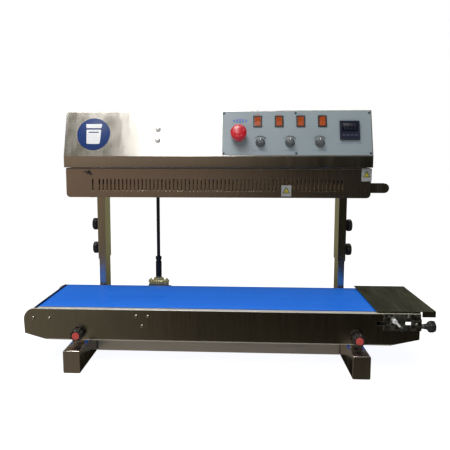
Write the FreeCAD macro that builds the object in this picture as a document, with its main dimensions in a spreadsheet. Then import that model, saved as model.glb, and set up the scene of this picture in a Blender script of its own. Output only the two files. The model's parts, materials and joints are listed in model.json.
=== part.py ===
import FreeCAD, Part
import math
import os
import re
import Sketcher

# Continuous band sealer: a sealing head on two telescoping columns above a belt conveyor.
# Millimetres.  +X runs along the conveyor to the infeed tray, +Y to the back, +Z up.
# The origin is on the floor, in the middle of the machine's outline.

SIZES = {
    # feet and the tube between them
    "foot_left_x": -353, "foot_right_x": 305, "foot_width": 40, "foot_height": 53,
    "foot_length": 420, "foot_wall": 2, "cross_front": -62, "cross_depth": 40, "cross_height": 40,
    # the lugs on the feet that the conveyor is clamped to
    "lug_width": 30, "lug_sheet": 4, "lug_top": 95,
    # posts and the sleeves that slide on them
    "post_left_x": -354, "post_right_x": 312, "post_width": 17, "post_depth": 58,
    "post_wall": 2, "post_top": 380, "column_y": 114,
    "sleeve_width": 21, "sleeve_depth": 62, "sleeve_wall": 1.5, "sleeve_bottom": 210,
    "clamp_high_z": 306, "clamp_low_z": 238, "clamp_radius": 17, "clamp_stud": 4, "clamp_reach": 22,
    "running_gap": 0.06,
    # head
    "head_left": -414, "head_right": 358, "head_back": 150, "fold_y": -40, "fold_z": 497,
    "cover_tilt": 17.3, "slope_length": 120.7, "lip_bottom": 469, "sheet": 1.2,
    "deck_bottom": 464, "deck_thick": 4,
    "guard_front": -32, "guard_left": -412, "guard_right": 356, "guard_bottom": 393,
    "guard_top": 467, "guard_round": 10, "guard_return": 30,
    "slot_first_x": -326, "slot_pitch": 10.03, "slot_count": 62, "slot_width": 3.4,
    "slot_low": 410, "slot_high": 439.5, "slot_alone_x": -343, "rear_guard_y": 72,
    # control panel, measured along the slope from the fold
    "panel_left": -13.5, "panel_right": 355.5, "panel_low": 2.5, "panel_high": 118,
    "panel_thick": 1.5, "panel_margin": 12,
    "screw_row_low": 7, "screw_row_high": 112, "screw_inset": 4, "screw_head": 2.6,
    "rocker_x": 75, "rocker_pitch": 53.6, "rocker_up": 90.3, "rocker_frame_wide": 22,
    "rocker_frame_tall": 30, "rocker_wide": 14.4, "rocker_tall": 22, "rocker_lean": 8,
    "dial_x": 81.5, "dial_pitch": 73.3, "dial_up": 34.8, "dial_radius": 12, "dial_height": 15,
    "estop_x": 27.5, "estop_up": 53, "estop_radius": 20, "estop_stem": 11,
    "controller_x": 301.8, "controller_up": 65.6, "controller_size": 48, "controller_lip": 6,
    "controller_depth": 62, "dome_x": -176, "dome_low": 42, "dome_high": 71.2, "dome_radius": 6.5,
    "wing_x": -354, "wing_z": 457,
    # sealing unit under the deck
    "wheel_left_x": -352, "wheel_right_x": 296, "wheel_front_y": -2, "wheel_gap": 48,
    "wheel_radius": 22.5, "wheel_low": 411, "wheel_thick": 17, "wheel_shaft": 6,
    "band_gap": 0.3, "band_sheet": 0.5, "band_low": 412, "band_wide": 15,
    "block_low": 410, "block_high": 446, "block_thick": 12, "heater_left": 15, "heater_right": 175,
    "cooler_left": -215, "cooler_right": -55,
    "guide_left": 322, "guide_right": 414, "guide_low": 403, "guide_tall": 25, "guide_sheet": 3,
    "guide_front_y": 14, "guide_slot": 10,
    "gear_low": 471, "gear_thick": 9, "gear_root": 21.4, "gear_tip": 25.7,
    "sprocket_low": 484, "sprocket_thick": 4, "sprocket_radius": 17, "cross_sprocket": 16,
    "chain_gap": 0.3, "chain_sheet": 2.7,
    # upright drive shaft and its gearbox behind the conveyor
    "shaft_x": -199, "shaft_y": 116, "rod_radius": 4.8, "rod_low": 192, "rod_high": 558,
    "coupling_radius": 8.5, "coupling_low": 155, "coupling_high": 213,
    "case_wide": 64, "case_deep": 68, "case_low": 84, "case_high": 138, "case_wall": 3,
    "case_shoulder": 121, "neck_half": 25.3,
    "input_radius": 6, "bevel_outer": 20, "bevel_inner": 12, "bevel_teeth": 16,
    # conveyor
    "conveyor_front": -154, "conveyor_back": 80, "conveyor_left": -486.4, "conveyor_right": 449,
    "plate_top": 136, "plate_bottom": 59.5, "plate_sheet": 1.5, "nose_round": 28, "nose_low": 74.5,
    "belly_left": -431, "belly_right": 382, "flange_left": -452, "screw_ring": 16, "screw_spread": 19.5,
    "front_flange": 13, "back_flange": 7, "bottom_flange": 10,
    "belt_front": -140, "belt_back": 72, "belt_sheet": 2, "roller_radius": 24, "roller_gap": 0.3,
    "roller_z": 112, "drive_x": -442, "idler_x": 385, "roller_shaft": 8, "nose_guard": 30,
    "bed_sheet": 2, "bed_top": 134,
    "slot_left": 353, "slot_right": 397, "axle_end": 4, "slot_play": 0.3, "bearing_thick": 5,
    "tray_left": 348, "tray_right": 483, "tray_front": -153, "tray_back": 84, "tray_top": 142,
    "tray_sheet": 1.5, "tray_lip": 128,
    "tension_left": 365, "tension_right": 451, "tension_low": 96, "tension_high": 135.5,
    "tension_y": -146, "tension_z": 104, "tension_screw": 3, "tension_knob": 14,
    "window_left": 414, "window_right": 427.5, "window_low": 108, "window_high": 117.5,
    "lever_x": 388, "lever_z": 120, "knob_left_x": -352.5, "knob_right_x": 306.5, "knob_z": 76.6,
    "knob_radius": 15, "knob_reach": 26, "cap_radius": 8,
}

doc = FreeCAD.newDocument("band_sealer")
sheet = doc.addObject("Spreadsheet::Sheet", "Dims")
for row, (alias, number) in enumerate(SIZES.items(), start=1):
    sheet.set("A%d" % row, alias)
    sheet.set("B%d" % row, str(number))
    sheet.setAlias("B%d" % row, alias)
doc.recompute()

NODES = []
Vector = FreeCAD.Vector
FACING = {
    "+Z": (Vector(0, 0, 1), 0), "-Z": (Vector(1, 0, 0), 180),
    "+X": (Vector(0, 1, 0), 90), "-X": (Vector(0, 1, 0), -90),
    "+Y": (Vector(1, 0, 0), -90), "-Y": (Vector(1, 0, 0), 90),
}


def formula(text):
    """A length as an expression of the sheet: every cell's name gets the sheet's name before it."""
    def cell(word):
        return "Dims." + word.group() if word.group() in SIZES else word.group()
    return re.sub(r"[a-z_]+", cell, str(text))


def place(item, x, y, z, facing="+Z"):
    """Puts an object's own origin at x, y, z and turns its own +Z to the side it faces."""
    item.Placement = FreeCAD.Placement(Vector(), FreeCAD.Rotation(*FACING[facing]))
    for axis, text in zip("xyz", (x, y, z)):
        item.setExpression("Placement.Base." + axis, formula(text))
    return item


def block(x, y, z):
    """A box between two planes on each axis."""
    box = doc.addObject("Part::Box", "block")
    for side, (low, high) in zip(("Length", "Width", "Height"), (x, y, z)):
        box.setExpression(side, formula("(%s) - (%s)" % (high, low)))
    return place(box, x[0], y[0], z[0])


def rod(x, y, z, facing, radius, length):
    """A cylinder that starts at x, y, z and runs the way it faces."""
    cylinder = doc.addObject("Part::Cylinder", "rod")
    cylinder.setExpression("Radius", formula(radius))
    cylinder.setExpression("Height", formula(length))
    return place(cylinder, x, y, z, facing)


def join(*pieces):
    """Several shapes welded into one."""
    whole = doc.addObject("Part::MultiFuse", "joined")
    whole.Shapes = list(pieces)
    whole.Refine = True
    return whole


def group(*pieces):
    """Several separate solids kept together."""
    whole = doc.addObject("Part::Compound", "group")
    whole.Links = list(pieces)
    return whole


def cut(base, *tools):
    """The base with the tools taken away."""
    result = doc.addObject("Part::Cut", "cut")
    result.Base = base
    result.Tool = tools[0] if len(tools) == 1 else group(*tools)
    return result


def polygon(sketch, points):
    """A closed outline whose corners are held at the given places by expressions."""
    count = len(points)
    start = [Vector(math.cos(math.tau * k / count), math.sin(math.tau * k / count), 0) for k in range(count)]
    first = sketch.GeometryCount
    for k in range(count):
        sketch.addGeometry(Part.LineSegment(start[k], start[(k + 1) % count]), False)
    for k in range(count):
        sketch.addConstraint(Sketcher.Constraint("Coincident", first + k, 2, first + (k + 1) % count, 1))
    for k, point in enumerate(points):
        for kind, axis, text in (("DistanceX", -2, point[0]), ("DistanceY", -1, point[1])):
            if str(text) == "0":
                sketch.addConstraint(Sketcher.Constraint("PointOnObject", first + k, 1, axis))
            else:
                row = sketch.addConstraint(Sketcher.Constraint(kind, -1, 1, first + k, 1, 1.0))
                sketch.setExpression("Constraints[%d]" % row, formula(text))


def sketch_in(body, plane, points):
    """A polygon sketched on one of the body's own origin planes."""
    sketch = body.newObject("Sketcher::SketchObject", "outline")
    roles = [feature for feature in body.Origin.OriginFeatures if feature.Role == plane + "_Plane"]
    sketch.AttachmentSupport = [(roles[0], "")]
    sketch.MapMode = "FlatFace"
    polygon(sketch, points)
    return sketch


def extruded(plane, points, length, rounded=None, radius=None):
    """A body padded from an outline; corners named by number are rounded."""
    body = doc.addObject("PartDesign::Body", "body")
    sketch = sketch_in(body, plane, points)
    pad = body.newObject("PartDesign::Pad", "pad")
    pad.Profile = sketch
    pad.setExpression("Length", formula(length))
    pad.Reversed = plane == "XZ"
    if rounded:
        doc.recompute()
        corners = [sketch.Placement.multVec(sketch.Geometry[k].StartPoint) for k in rounded]
        edges = [
            "Edge%d" % (number + 1) for number, edge in enumerate(pad.Shape.Edges)
            if any(min((end.Point - corner).Length for end in edge.Vertexes) < 0.01
                   and abs(edge.Length - pad.Length.Value) < 0.01
                   and edge.tangentAt(0).isParallel(sketch.Placement.Rotation.multVec(Vector(0, 0, 1)), 0.01)
                   for corner in corners)]
        fillet = body.newObject("PartDesign::Fillet", "round")
        fillet.Base = (pad, edges)
        fillet.setExpression("Radius", formula(radius))
    return body


def turned(x, y, z, facing, points):
    """A body of revolution; its outline is (radius, distance along the axis)."""
    body = doc.addObject("PartDesign::Body", "turned")
    sketch = sketch_in(body, "XZ", points)
    spin = body.newObject("PartDesign::Revolution", "spin")
    spin.Profile = sketch
    spin.ReferenceAxis = (sketch, ["V_Axis"])
    spin.Angle = 360
    return place(body, x, y, z, facing)


def racetrack(span, near, far, low, tall):
    """A solid with round ends about two centres on its own X axis, a span apart."""
    corners = [("0", "0 - (%s)" % near), (span, "0 - (%s)" % far), (span, far), ("0", near)]
    middle = extruded("XY", corners, tall)
    place(middle, "0", "0", low)
    return join(middle, rod("0", "0", low, "+Z", near, tall), rod(span, "0", low, "+Z", far, tall))


def loop(span, near, far, skin, tall):
    """A belt, band or chain: a thin wall round two wheels."""
    outer = racetrack(span, "%s + %s" % (near, skin), "%s + %s" % (far, skin), "0", tall)
    hollow = racetrack(span, near, far, "-1", "(%s) + 2" % tall)
    return cut(outer, hollow)


def on_slope(item):
    """Lays an object drawn in the slope's own frame on the slanted face of the cover."""
    item.Placement = FreeCAD.Placement(Vector(), FreeCAD.Rotation(Vector(1, 0, 0), -SIZES["cover_tilt"]))
    item.setExpression("Placement.Base.y", formula("fold_y"))
    item.setExpression("Placement.Base.z", formula("fold_z"))
    return item


def fluted(body, count, ring, radius, length):
    """Finger grooves round a knob, cut in the knob's own frame."""
    grooves = []
    for number in range(count):
        groove = doc.addObject("Part::Cylinder", "groove")
        groove.setExpression("Radius", formula(radius))
        groove.setExpression("Height", formula(length))
        turn = "360 * %d / %d" % (number, count)
        groove.setExpression("Placement.Base.x", formula("(%s) * cos(%s)" % (ring, turn)))
        groove.setExpression("Placement.Base.y", formula("(%s) * sin(%s)" % (ring, turn)))
        grooves.append(groove)
    return cut(body, *grooves)


def node(name, item):
    """Names a finished sub-part."""
    item.Label = name
    NODES.append(item)
    return item


# ---- base: two feet, the tube between them and the posts ----

foot_pieces = []
for centre in ("foot_left_x", "foot_right_x"):
    sides = (centre + " - foot_width / 2", centre + " + foot_width / 2")
    inner_sides = (sides[0] + " + foot_wall", sides[1] + " - foot_wall")
    ends = ("-foot_length / 2", "foot_length / 2")
    tube_ends = (ends[0] + " + foot_wall", ends[1] + " - foot_wall")
    shell = block(sides, tube_ends, ("0", "foot_height"))
    bore = block(inner_sides, ("-foot_length", "foot_length"), ("foot_wall", "foot_height - foot_wall"))
    foot_pieces.append(cut(shell, bore))
    foot_pieces.append(block(sides, (ends[0], tube_ends[0]), ("0", "foot_height")))
    foot_pieces.append(block(sides, (tube_ends[1], ends[1]), ("0", "foot_height")))

cross_ends = ("foot_left_x + foot_width / 2", "foot_right_x - foot_width / 2")
cross_shell = block(cross_ends, ("cross_front", "cross_front + cross_depth"), ("0", "cross_height"))
cross_bore = block(("foot_left_x", "foot_right_x"),
                   ("cross_front + foot_wall", "cross_front + cross_depth - foot_wall"),
                   ("foot_wall", "cross_height - foot_wall"))
node("cross_tube", cut(cross_shell, cross_bore))

# Lugs welded on the feet stand just inside the conveyor's side plates.
for centre, knob in (("foot_left_x", "knob_left_x"), ("foot_right_x", "knob_right_x")):
    across = (centre + " - lug_width / 2", centre + " + lug_width / 2")
    front = "conveyor_front + plate_sheet"
    back = "conveyor_back - plate_sheet"
    ear = block(across, (front, front + " + lug_sheet"), ("foot_height", "lug_top"))
    stud_hole = rod(knob, front + " - 1", "knob_z", "+Y", "clamp_stud + running_gap", "lug_sheet + 2")
    foot_pieces.append(cut(ear, stud_hole))
    foot_pieces.append(block(across, (back + " - lug_sheet", back), ("foot_height", "lug_top")))
node("feet", group(*foot_pieces))

posts = []
for centre in ("post_left_x", "post_right_x"):
    wide = (centre + " - post_width / 2", centre + " + post_width / 2")
    deep = ("column_y - post_depth / 2", "column_y + post_depth / 2")
    shell = block(wide, deep, ("foot_height", "post_top"))
    bore = block((wide[0] + " + post_wall", wide[1] + " - post_wall"),
                 (deep[0] + " + post_wall", deep[1] + " - post_wall"), ("foot_height - 1", "post_top + 1"))
    posts.append(cut(shell, bore))
node("posts", group(*posts))

# ---- conveyor: folded side plates, bed, belt and rollers ----


def side_plate(outer, inner, top_flange_edge, bottom_flange_edge, holes):
    """One side plate: a flat sheet with its top and bottom edges folded inward."""
    corners = [("conveyor_left", "plate_top"), ("conveyor_left + 3", "nose_low"),
               ("belly_left", "plate_bottom"),
               ("belly_right", "plate_bottom"), ("conveyor_right - 1", "nose_low"),
               ("conveyor_right", "plate_top")]
    flat = extruded("XZ", corners, "plate_sheet", rounded=[0], radius="nose_round")
    place(flat, "0", outer, "0")
    top = block(("flange_left", "conveyor_right"), top_flange_edge, ("plate_top - plate_sheet", "plate_top"))
    bottom = block(("belly_left + 11", "belly_right - 7"), bottom_flange_edge,
                   ("plate_bottom", "plate_bottom + plate_sheet"))
    notches = [block((centre + " - lug_width / 2 - 0.5", centre + " + lug_width / 2 + 0.5"), inner,
                     ("plate_bottom - 1", "plate_bottom + plate_sheet + 1"))
               for centre in ("foot_left_x", "foot_right_x")]
    return cut(join(flat, top, bottom), *notches, *holes)


def axle_slot(y_low):
    """The slot that the idler's axle slides in, with round ends."""
    tall = "axle_end + slot_play"
    middle = block(("slot_left", "slot_right"), (y_low, y_low + " + 6"),
                   ("roller_z - (%s)" % tall, "roller_z + " + tall))
    ends = [rod(x, y_low, "roller_z", "+Y", tall, "6") for x in ("slot_left", "slot_right")]
    return [middle] + ends


def window(y_low, y_high):
    """The sight window beyond the idler."""
    return block(("window_left", "window_right"), (y_low, y_high), ("window_low", "window_high"))


inside_front = "conveyor_front + plate_sheet"
inside_back = "conveyor_back - plate_sheet"
front_tools = "conveyor_front - 2"
back_tools = "conveyor_back - 4"
front_holes = [join(*axle_slot(front_tools)), window(front_tools, "conveyor_front + 3")]
front_holes += [rod(x, front_tools, "knob_z", "+Y", "clamp_stud + running_gap", "5")
                for x in ("knob_left_x", "knob_right_x")]
back_holes = [join(*axle_slot(back_tools)),
              rod("shaft_x", back_tools, "roller_z", "+Y", "input_radius + 1", "6")]
front_plate = side_plate("conveyor_front", (inside_front, "conveyor_front + bottom_flange + 1"),
                         ("conveyor_front", "conveyor_front + front_flange"),
                         ("conveyor_front", "conveyor_front + bottom_flange"), front_holes)
back_plate = side_plate(inside_back, ("conveyor_back - bottom_flange - 1", inside_back),
                        ("conveyor_back - back_flange", "conveyor_back"),
                        ("conveyor_back - bottom_flange", "conveyor_back"), back_holes)

# Button-head screws of the front plate: two at the drive roller, three round the cross shaft.
screw_places = [("drive_x - screw_spread", "roller_z"), ("drive_x + screw_spread", "roller_z")]
for number in range(3):
    turn = "(120 * %d - 90)" % number
    screw_places.append(("shaft_x + screw_ring * cos%s" % turn, "roller_z + screw_ring * sin%s" % turn))


def button_screw(x, y, z, facing, head, shank, length):
    """A domed screw head with its shank behind the seat."""
    points = [("0", "0 - (%s)" % length), (shank, "0 - (%s)" % length), (shank, "0"), (head, "0"),
              (head, "(%s) * 0.3" % head), ("(%s) * 0.6" % head, "(%s) * 0.7" % head),
              ("0", "(%s) * 0.75" % head)]
    return turned(x, y, z, facing, points)


plate_screws = group(*[button_screw(x, "conveyor_front", z, "-Y", "4", "2.5", "plate_sheet + 2")
                       for x, z in screw_places])
node("conveyor_front_plate", cut(front_plate, plate_screws))
node("conveyor_back_plate", back_plate)

# Rounded sheet that closes the conveyor's nose round the drive roller.
nose_wide = "conveyor_back - conveyor_front - 2 * plate_sheet"
nose_sheet = rod("drive_x", "conveyor_front + plate_sheet", "roller_z", "+Y", "nose_guard + plate_sheet",
                 nose_wide)
nose_hollow = rod("drive_x", "conveyor_front", "roller_z", "+Y", "nose_guard",
                  "conveyor_back - conveyor_front")
nose_keep = extruded("XZ", [("drive_x", "roller_z"), ("drive_x - 40", "roller_z + 61"),
                            ("drive_x - 60", "roller_z"),
                            ("drive_x - 40", "roller_z - 50")], "conveyor_back - conveyor_front")
place(nose_keep, "0", "conveyor_front", "0")
nose = doc.addObject("Part::Common", "nose")
nose.Base = cut(nose_sheet, nose_hollow)
nose.Tool = nose_keep
node("conveyor_nose", nose)

node("slider_bed", block(("drive_x + 34", "idler_x - 34"),
                         ("conveyor_front + plate_sheet", "conveyor_back - plate_sheet"),
                         ("bed_top - bed_sheet", "bed_top")))

belt = loop("idler_x - drive_x", "roller_radius", "roller_radius", "belt_sheet", "belt_back - belt_front")
place(belt, "drive_x", "belt_back", "roller_z", "-Y")
node("conveyor_belt", belt)

roller_front = "belt_front + 1"
roller_wide = "belt_back - belt_front - 2"


def bearing(x, y, facing, bore, outer):
    """A plain bearing seat fixed inside a side plate."""
    return turned(x, y, "roller_z", facing, [(bore + " + running_gap", "0"), (outer, "0"), (outer, "2.5"),
                  (outer + " - 5", "bearing_thick"), (bore + " + running_gap", "bearing_thick")])


bearings = [bearing("drive_x", inside_front, "+Y", "roller_shaft", "20"),
            bearing("drive_x", inside_back, "-Y", "roller_shaft", "20"),
            bearing("shaft_x", inside_front, "+Y", "input_radius", "20")]
node("conveyor_bearings", cut(group(*bearings), plate_screws))

# ---- conveyor drive: roller, chain, cross shaft and bevel gears ----


def toothed_wheel(x, y, z, facing, bore, radius, thick, count):
    """A sprocket: a disc whose rim is notched all round."""
    disc = turned("0", "0", "0", "+Z", [(bore, "0"), (radius, "0"), (radius, thick), (bore, thick)])
    wheel = fluted(disc, count, radius + " + 1.2", "2.4", thick)
    return place(wheel, x, y, z, facing)


sprocket_y = "conveyor_front + plate_sheet + bearing_thick + 0.7"
roller_body = turned("drive_x", roller_front, "roller_z", "+Y",
                     [("roller_shaft", "0"), ("roller_radius - roller_gap", "0"),
                      ("roller_radius - roller_gap", roller_wide), ("roller_shaft", roller_wide)])
roller_axle = rod("drive_x", inside_front + " + 0.5", "roller_z", "+Y", "roller_shaft",
                  "conveyor_back - conveyor_front - 2 * plate_sheet - 1")
roller_sprocket = toothed_wheel("drive_x", sprocket_y, "roller_z", "+Y", "roller_shaft", "sprocket_radius",
                                "sprocket_thick", 17)
node("drive_roller", group(roller_body, roller_axle, roller_sprocket))

cross_length = "shaft_y - bevel_outer - (%s) - 0.5" % inside_front
cross_rod = rod("shaft_x", inside_front + " + 0.5", "roller_z", "+Y", "input_radius", cross_length)
cross_wheel = toothed_wheel("shaft_x", sprocket_y, "roller_z", "+Y", "input_radius", "cross_sprocket",
                            "sprocket_thick", 16)


def bevel_gear(name, x, y, z, facing, half_tooth_turn):
    """A mitre gear: one toothed outline shrunk towards the point where both axes cross."""
    teeth = SIZES["bevel_teeth"]
    outer = SIZES["bevel_outer"]
    pitch = math.tau / teeth
    steps = ((-0.33, 0.87), (-0.12, 1.09), (0.12, 1.09), (0.33, 0.87))
    ring = [(outer * size, pitch * (tooth + part + half_tooth_turn))
            for tooth in range(teeth) for part, size in steps]
    wires = []
    for shrink in (1.0, SIZES["bevel_inner"] / outer):
        corners = [Vector(radius * shrink * math.cos(turn), radius * shrink * math.sin(turn), outer * shrink)
                   for radius, turn in ring]
        wires.append(Part.makePolygon(corners + corners[:1]))
    solid = Part.makeLoft(wires, True, True)
    gear = doc.addObject("Part::Feature", name)
    gear.Shape = solid
    return place(gear, x, y, z, facing)


cross_gear = bevel_gear("cross_gear", "shaft_x", "shaft_y", "roller_z", "-Y", 0.0)
node("cross_shaft", group(cross_rod, cross_wheel, cross_gear))

input_gear = bevel_gear("input_gear", "shaft_x", "shaft_y", "roller_z", "+Z", 0.5)
input_stub = rod("shaft_x", "shaft_y", "roller_z + bevel_outer", "+Z", "input_radius",
                 "coupling_low + 12 - roller_z - bevel_outer")
node("input_bevel_gear", group(input_gear, input_stub))

chain = loop("shaft_x - drive_x", "sprocket_radius + chain_gap", "cross_sprocket + chain_gap", "chain_sheet",
             "sprocket_thick - 0.6")
place(chain, "drive_x", "(%s) + sprocket_thick - 0.3" % sprocket_y, "roller_z", "-Y")
node("conveyor_chain", chain)

case_x = ("shaft_x - case_wide / 2", "shaft_x + case_wide / 2")
case_y = ("conveyor_back", "conveyor_back + case_deep")
case_box = block(case_x, case_y, ("case_low", "case_shoulder"))
neck_low = "case_low + 2 * case_wall"
case_neck = block(("shaft_x - neck_half", "shaft_x + neck_half"),
                  ("shaft_y - neck_half", "shaft_y + neck_half"), (neck_low, "case_high"))
case_shell = join(case_box, case_neck)
box_hollow = block((case_x[0] + " + case_wall", case_x[1] + " - case_wall"),
                   (case_y[0] + " + case_wall", case_y[1] + " - case_wall"),
                   ("case_low + case_wall", "case_shoulder - case_wall"))
neck_hollow = block(("shaft_x - neck_half + case_wall", "shaft_x + neck_half - case_wall"),
                    ("shaft_y - neck_half + case_wall", "shaft_y + neck_half - case_wall"),
                    (neck_low, "case_high - case_wall"))
case_hollow = join(box_hollow, neck_hollow)
case_bore = rod("shaft_x", "conveyor_back - 1", "roller_z", "+Y", "input_radius + running_gap",
                "case_wall + 2")
case_mouth = rod("shaft_x", "shaft_y", "case_high - case_wall - 1", "+Z", "input_radius + running_gap",
                 "case_wall + 2")
node("gearbox_case", cut(case_shell, case_hollow, case_bore, case_mouth))

# Two-bolt flange bearing on top of the gearbox.
flange_disc = turned("0", "0", "0", "+Z", [("input_radius + running_gap", "0"), ("18", "0"), ("18", "5"),
                                            ("15", "7"), ("14", "12"), ("11", "12"), ("11", "14"),
                                            ("input_radius + running_gap", "14")])
flange_web = cut(join(block(("-22", "22"), ("-8", "8"), ("0", "5")), rod("-22", "0", "0", "+Z", "8", "5"),
                      rod("22", "0", "0", "+Z", "8", "5")),
                 rod("0", "0", "-1", "+Z", "17", "8"))
flange_bolts = [join(rod(x, "0", "5", "+Z", "5", "3"), rod(x, "0", "8", "+Z", "2.5", "3"))
                for x in ("-23", "23")]
flange = join(flange_disc, flange_web, *flange_bolts)
node("flange_bearing", place(flange, "shaft_x", "shaft_y", "case_high"))

coupling = turned("shaft_x", "shaft_y", "coupling_low", "+Z",
                  [("input_radius", "0"), ("coupling_radius", "0"), ("coupling_radius", "44"), ("6.6", "46"),
                   ("6.6", "47.5"), ("coupling_radius", "49"),
                   ("coupling_radius", "coupling_high - coupling_low"),
                   ("rod_radius", "coupling_high - coupling_low"), ("rod_radius", "rod_low - coupling_low"),
                   ("input_radius", "rod_low - coupling_low")])
node("shaft_coupling", coupling)
node("drive_rod", rod("shaft_x", "shaft_y", "rod_low", "+Z", "rod_radius", "rod_high - rod_low"))

# ---- idler end: roller on a sliding axle, tension screw, lock lever and tray ----

idler_tube = turned("idler_x", roller_front, "roller_z", "+Y",
                    [("roller_shaft + running_gap", "0"), ("roller_radius - roller_gap", "0"),
                     ("roller_radius - roller_gap", roller_wide),
                     ("roller_shaft + running_gap", roller_wide)])
node("idler_roller", idler_tube)

axle_start = "conveyor_front - 2"
axle_step = "(%s) - (%s)" % (roller_front, axle_start)
axle = turned("idler_x", axle_start, "roller_z", "+Y",
              [("0", "0"), ("axle_end", "0"), ("axle_end", axle_step + " - 1"),
               ("roller_shaft", axle_step + " - 1"),
               ("roller_shaft", axle_step + " + (%s) + 1" % roller_wide),
               ("axle_end", axle_step + " + (%s) + 1" % roller_wide),
               ("axle_end", "conveyor_back - (%s)" % axle_start),
               ("0", "conveyor_back - (%s)" % axle_start)])
axle_block = cut(block(("idler_x - 12", "idler_x + 14"), ("tension_y - 5", "tension_y + 4.5"),
                       ("roller_z - 15", "roller_z + 12")),
                 rod("idler_x - 20", "tension_y", "tension_z", "+X", "tension_screw + running_gap", "40"),
                 rod("idler_x", "tension_y - 6", "roller_z", "+Y", "axle_end", "12"))
node("idler_axle", group(axle, axle_block))

tension_face = block(("tension_left", "tension_right - 2"), ("conveyor_front - 2", "conveyor_front"),
                     ("tension_low", "tension_high"))
tension_fold = block(("tension_right - 2", "tension_right"), ("conveyor_front - 2", "tension_y + 8"),
                     ("tension_low", "tension_high - 12"))
tension_slot = join(*axle_slot("conveyor_front - 4"))
tension_bore = rod("tension_right - 4", "tension_y", "tension_z", "+X", "tension_screw + running_gap", "8")
small_screws = group(*[button_screw(x, "conveyor_front - 2", z, "-Y", "2.8", "1.6", "2")
                       for x, z in (("421", "130"), ("409", "100"), ("440", "112"))])
node("tension_plate", cut(join(tension_face, tension_fold), tension_slot, tension_bore,
                          window("conveyor_front - 4", "conveyor_front + 1"), small_screws))
node("conveyor_screws", group(plate_screws, small_screws))

star = turned("0", "0", "0", "+Z", [("0", "0"), ("6", "0"), ("6.5", "6"), ("9", "9"), ("tension_knob", "14"),
                                    ("tension_knob", "23"), ("11", "26"), ("0", "26")])
star_knob = place(fluted(star, 6, "tension_knob + 5", "6.2", "40"), "tension_right + 8", "tension_y",
                  "tension_z", "+X")
tension_rod = rod("idler_x - 16", "tension_y", "tension_z", "+X", "tension_screw",
                  "tension_right + 8 - idler_x + 16")
tension_collar = cut(rod("tension_right + 0.3", "tension_y", "tension_z", "+X", "5.5", "7.7"),
                     rod("tension_right", "tension_y", "tension_z", "+X", "tension_screw", "9"))
node("tension_knob", group(star_knob, tension_rod, tension_collar))

lever_hub = rod("lever_x", "conveyor_front - 12", "lever_z", "+Y", "5.5", "9.5")
lever_arm = doc.addObject("Part::Cylinder", "lever_arm")
lever_arm.Radius = 2
lever_arm.Height = 22
place(lever_arm, "lever_x", "conveyor_front - 7", "lever_z")
lever_arm.Placement.Rotation = FreeCAD.Rotation(Vector(0, 0, 1), Vector(0.68, -0.35, -0.64))
lever_ball = doc.addObject("Part::Sphere", "lever_ball")
lever_ball.Radius = 7
place(lever_ball, "lever_x + 17", "conveyor_front - 15.5", "lever_z - 16")
node("lock_lever", join(lever_hub, lever_arm, lever_ball))

tray_plate = block(("tray_left", "tray_right"), ("tray_front", "tray_back"),
                   ("tray_top - tray_sheet", "tray_top"))
tray_end = block(("tray_right - tray_sheet", "tray_right"), ("tray_front", "tray_back"),
                 ("tray_lip", "tray_top"))
tray_sides = [block(("conveyor_right + 4", "tray_right"), side, ("tray_lip", "tray_top"))
              for side in (("tray_front", "tray_front + tray_sheet"),
                           ("tray_back - tray_sheet", "tray_back"))]
rails = [block(("tray_left + 4", "conveyor_right"), side, ("plate_top", "tray_top - tray_sheet"))
         for side in (("conveyor_front + 2", "conveyor_front + 11"),
                      ("conveyor_back - 7", "conveyor_back - 1"))]
node("end_tray", join(tray_plate, tray_end, *tray_sides, *rails))

# Ribbed clamping knobs with a coloured cap, one above each foot.
for side in ("left", "right"):
    at = "knob_%s_x" % side
    grip = turned("0", "0", "0", "+Z",
                  [("0", "0.3"), ("7", "0.3"), ("8", "4"), ("knob_radius - 1", "8"), ("knob_radius", "10"),
                   ("knob_radius - 1", "knob_reach - 4"), ("cap_radius + 1", "knob_reach - 2"),
                   ("0", "knob_reach - 2")])
    grip = place(fluted(grip, 8, "knob_radius + 2.4", "4", "knob_reach"), at, "conveyor_front", "knob_z",
                 "-Y")
    cap = turned(at, "conveyor_front - knob_reach + 2", "knob_z", "-Y",
                 [("0", "0"), ("cap_radius", "0"), ("cap_radius - 1", "2"), ("0", "2")])
    stud = rod(at, "conveyor_front - 0.3", "knob_z", "+Y", "clamp_stud", "plate_sheet + lug_sheet + 8")
    node("conveyor_knob_" + side, group(grip, cap, stud))

# ---- head: sleeves, deck, cover and guards ----

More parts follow.
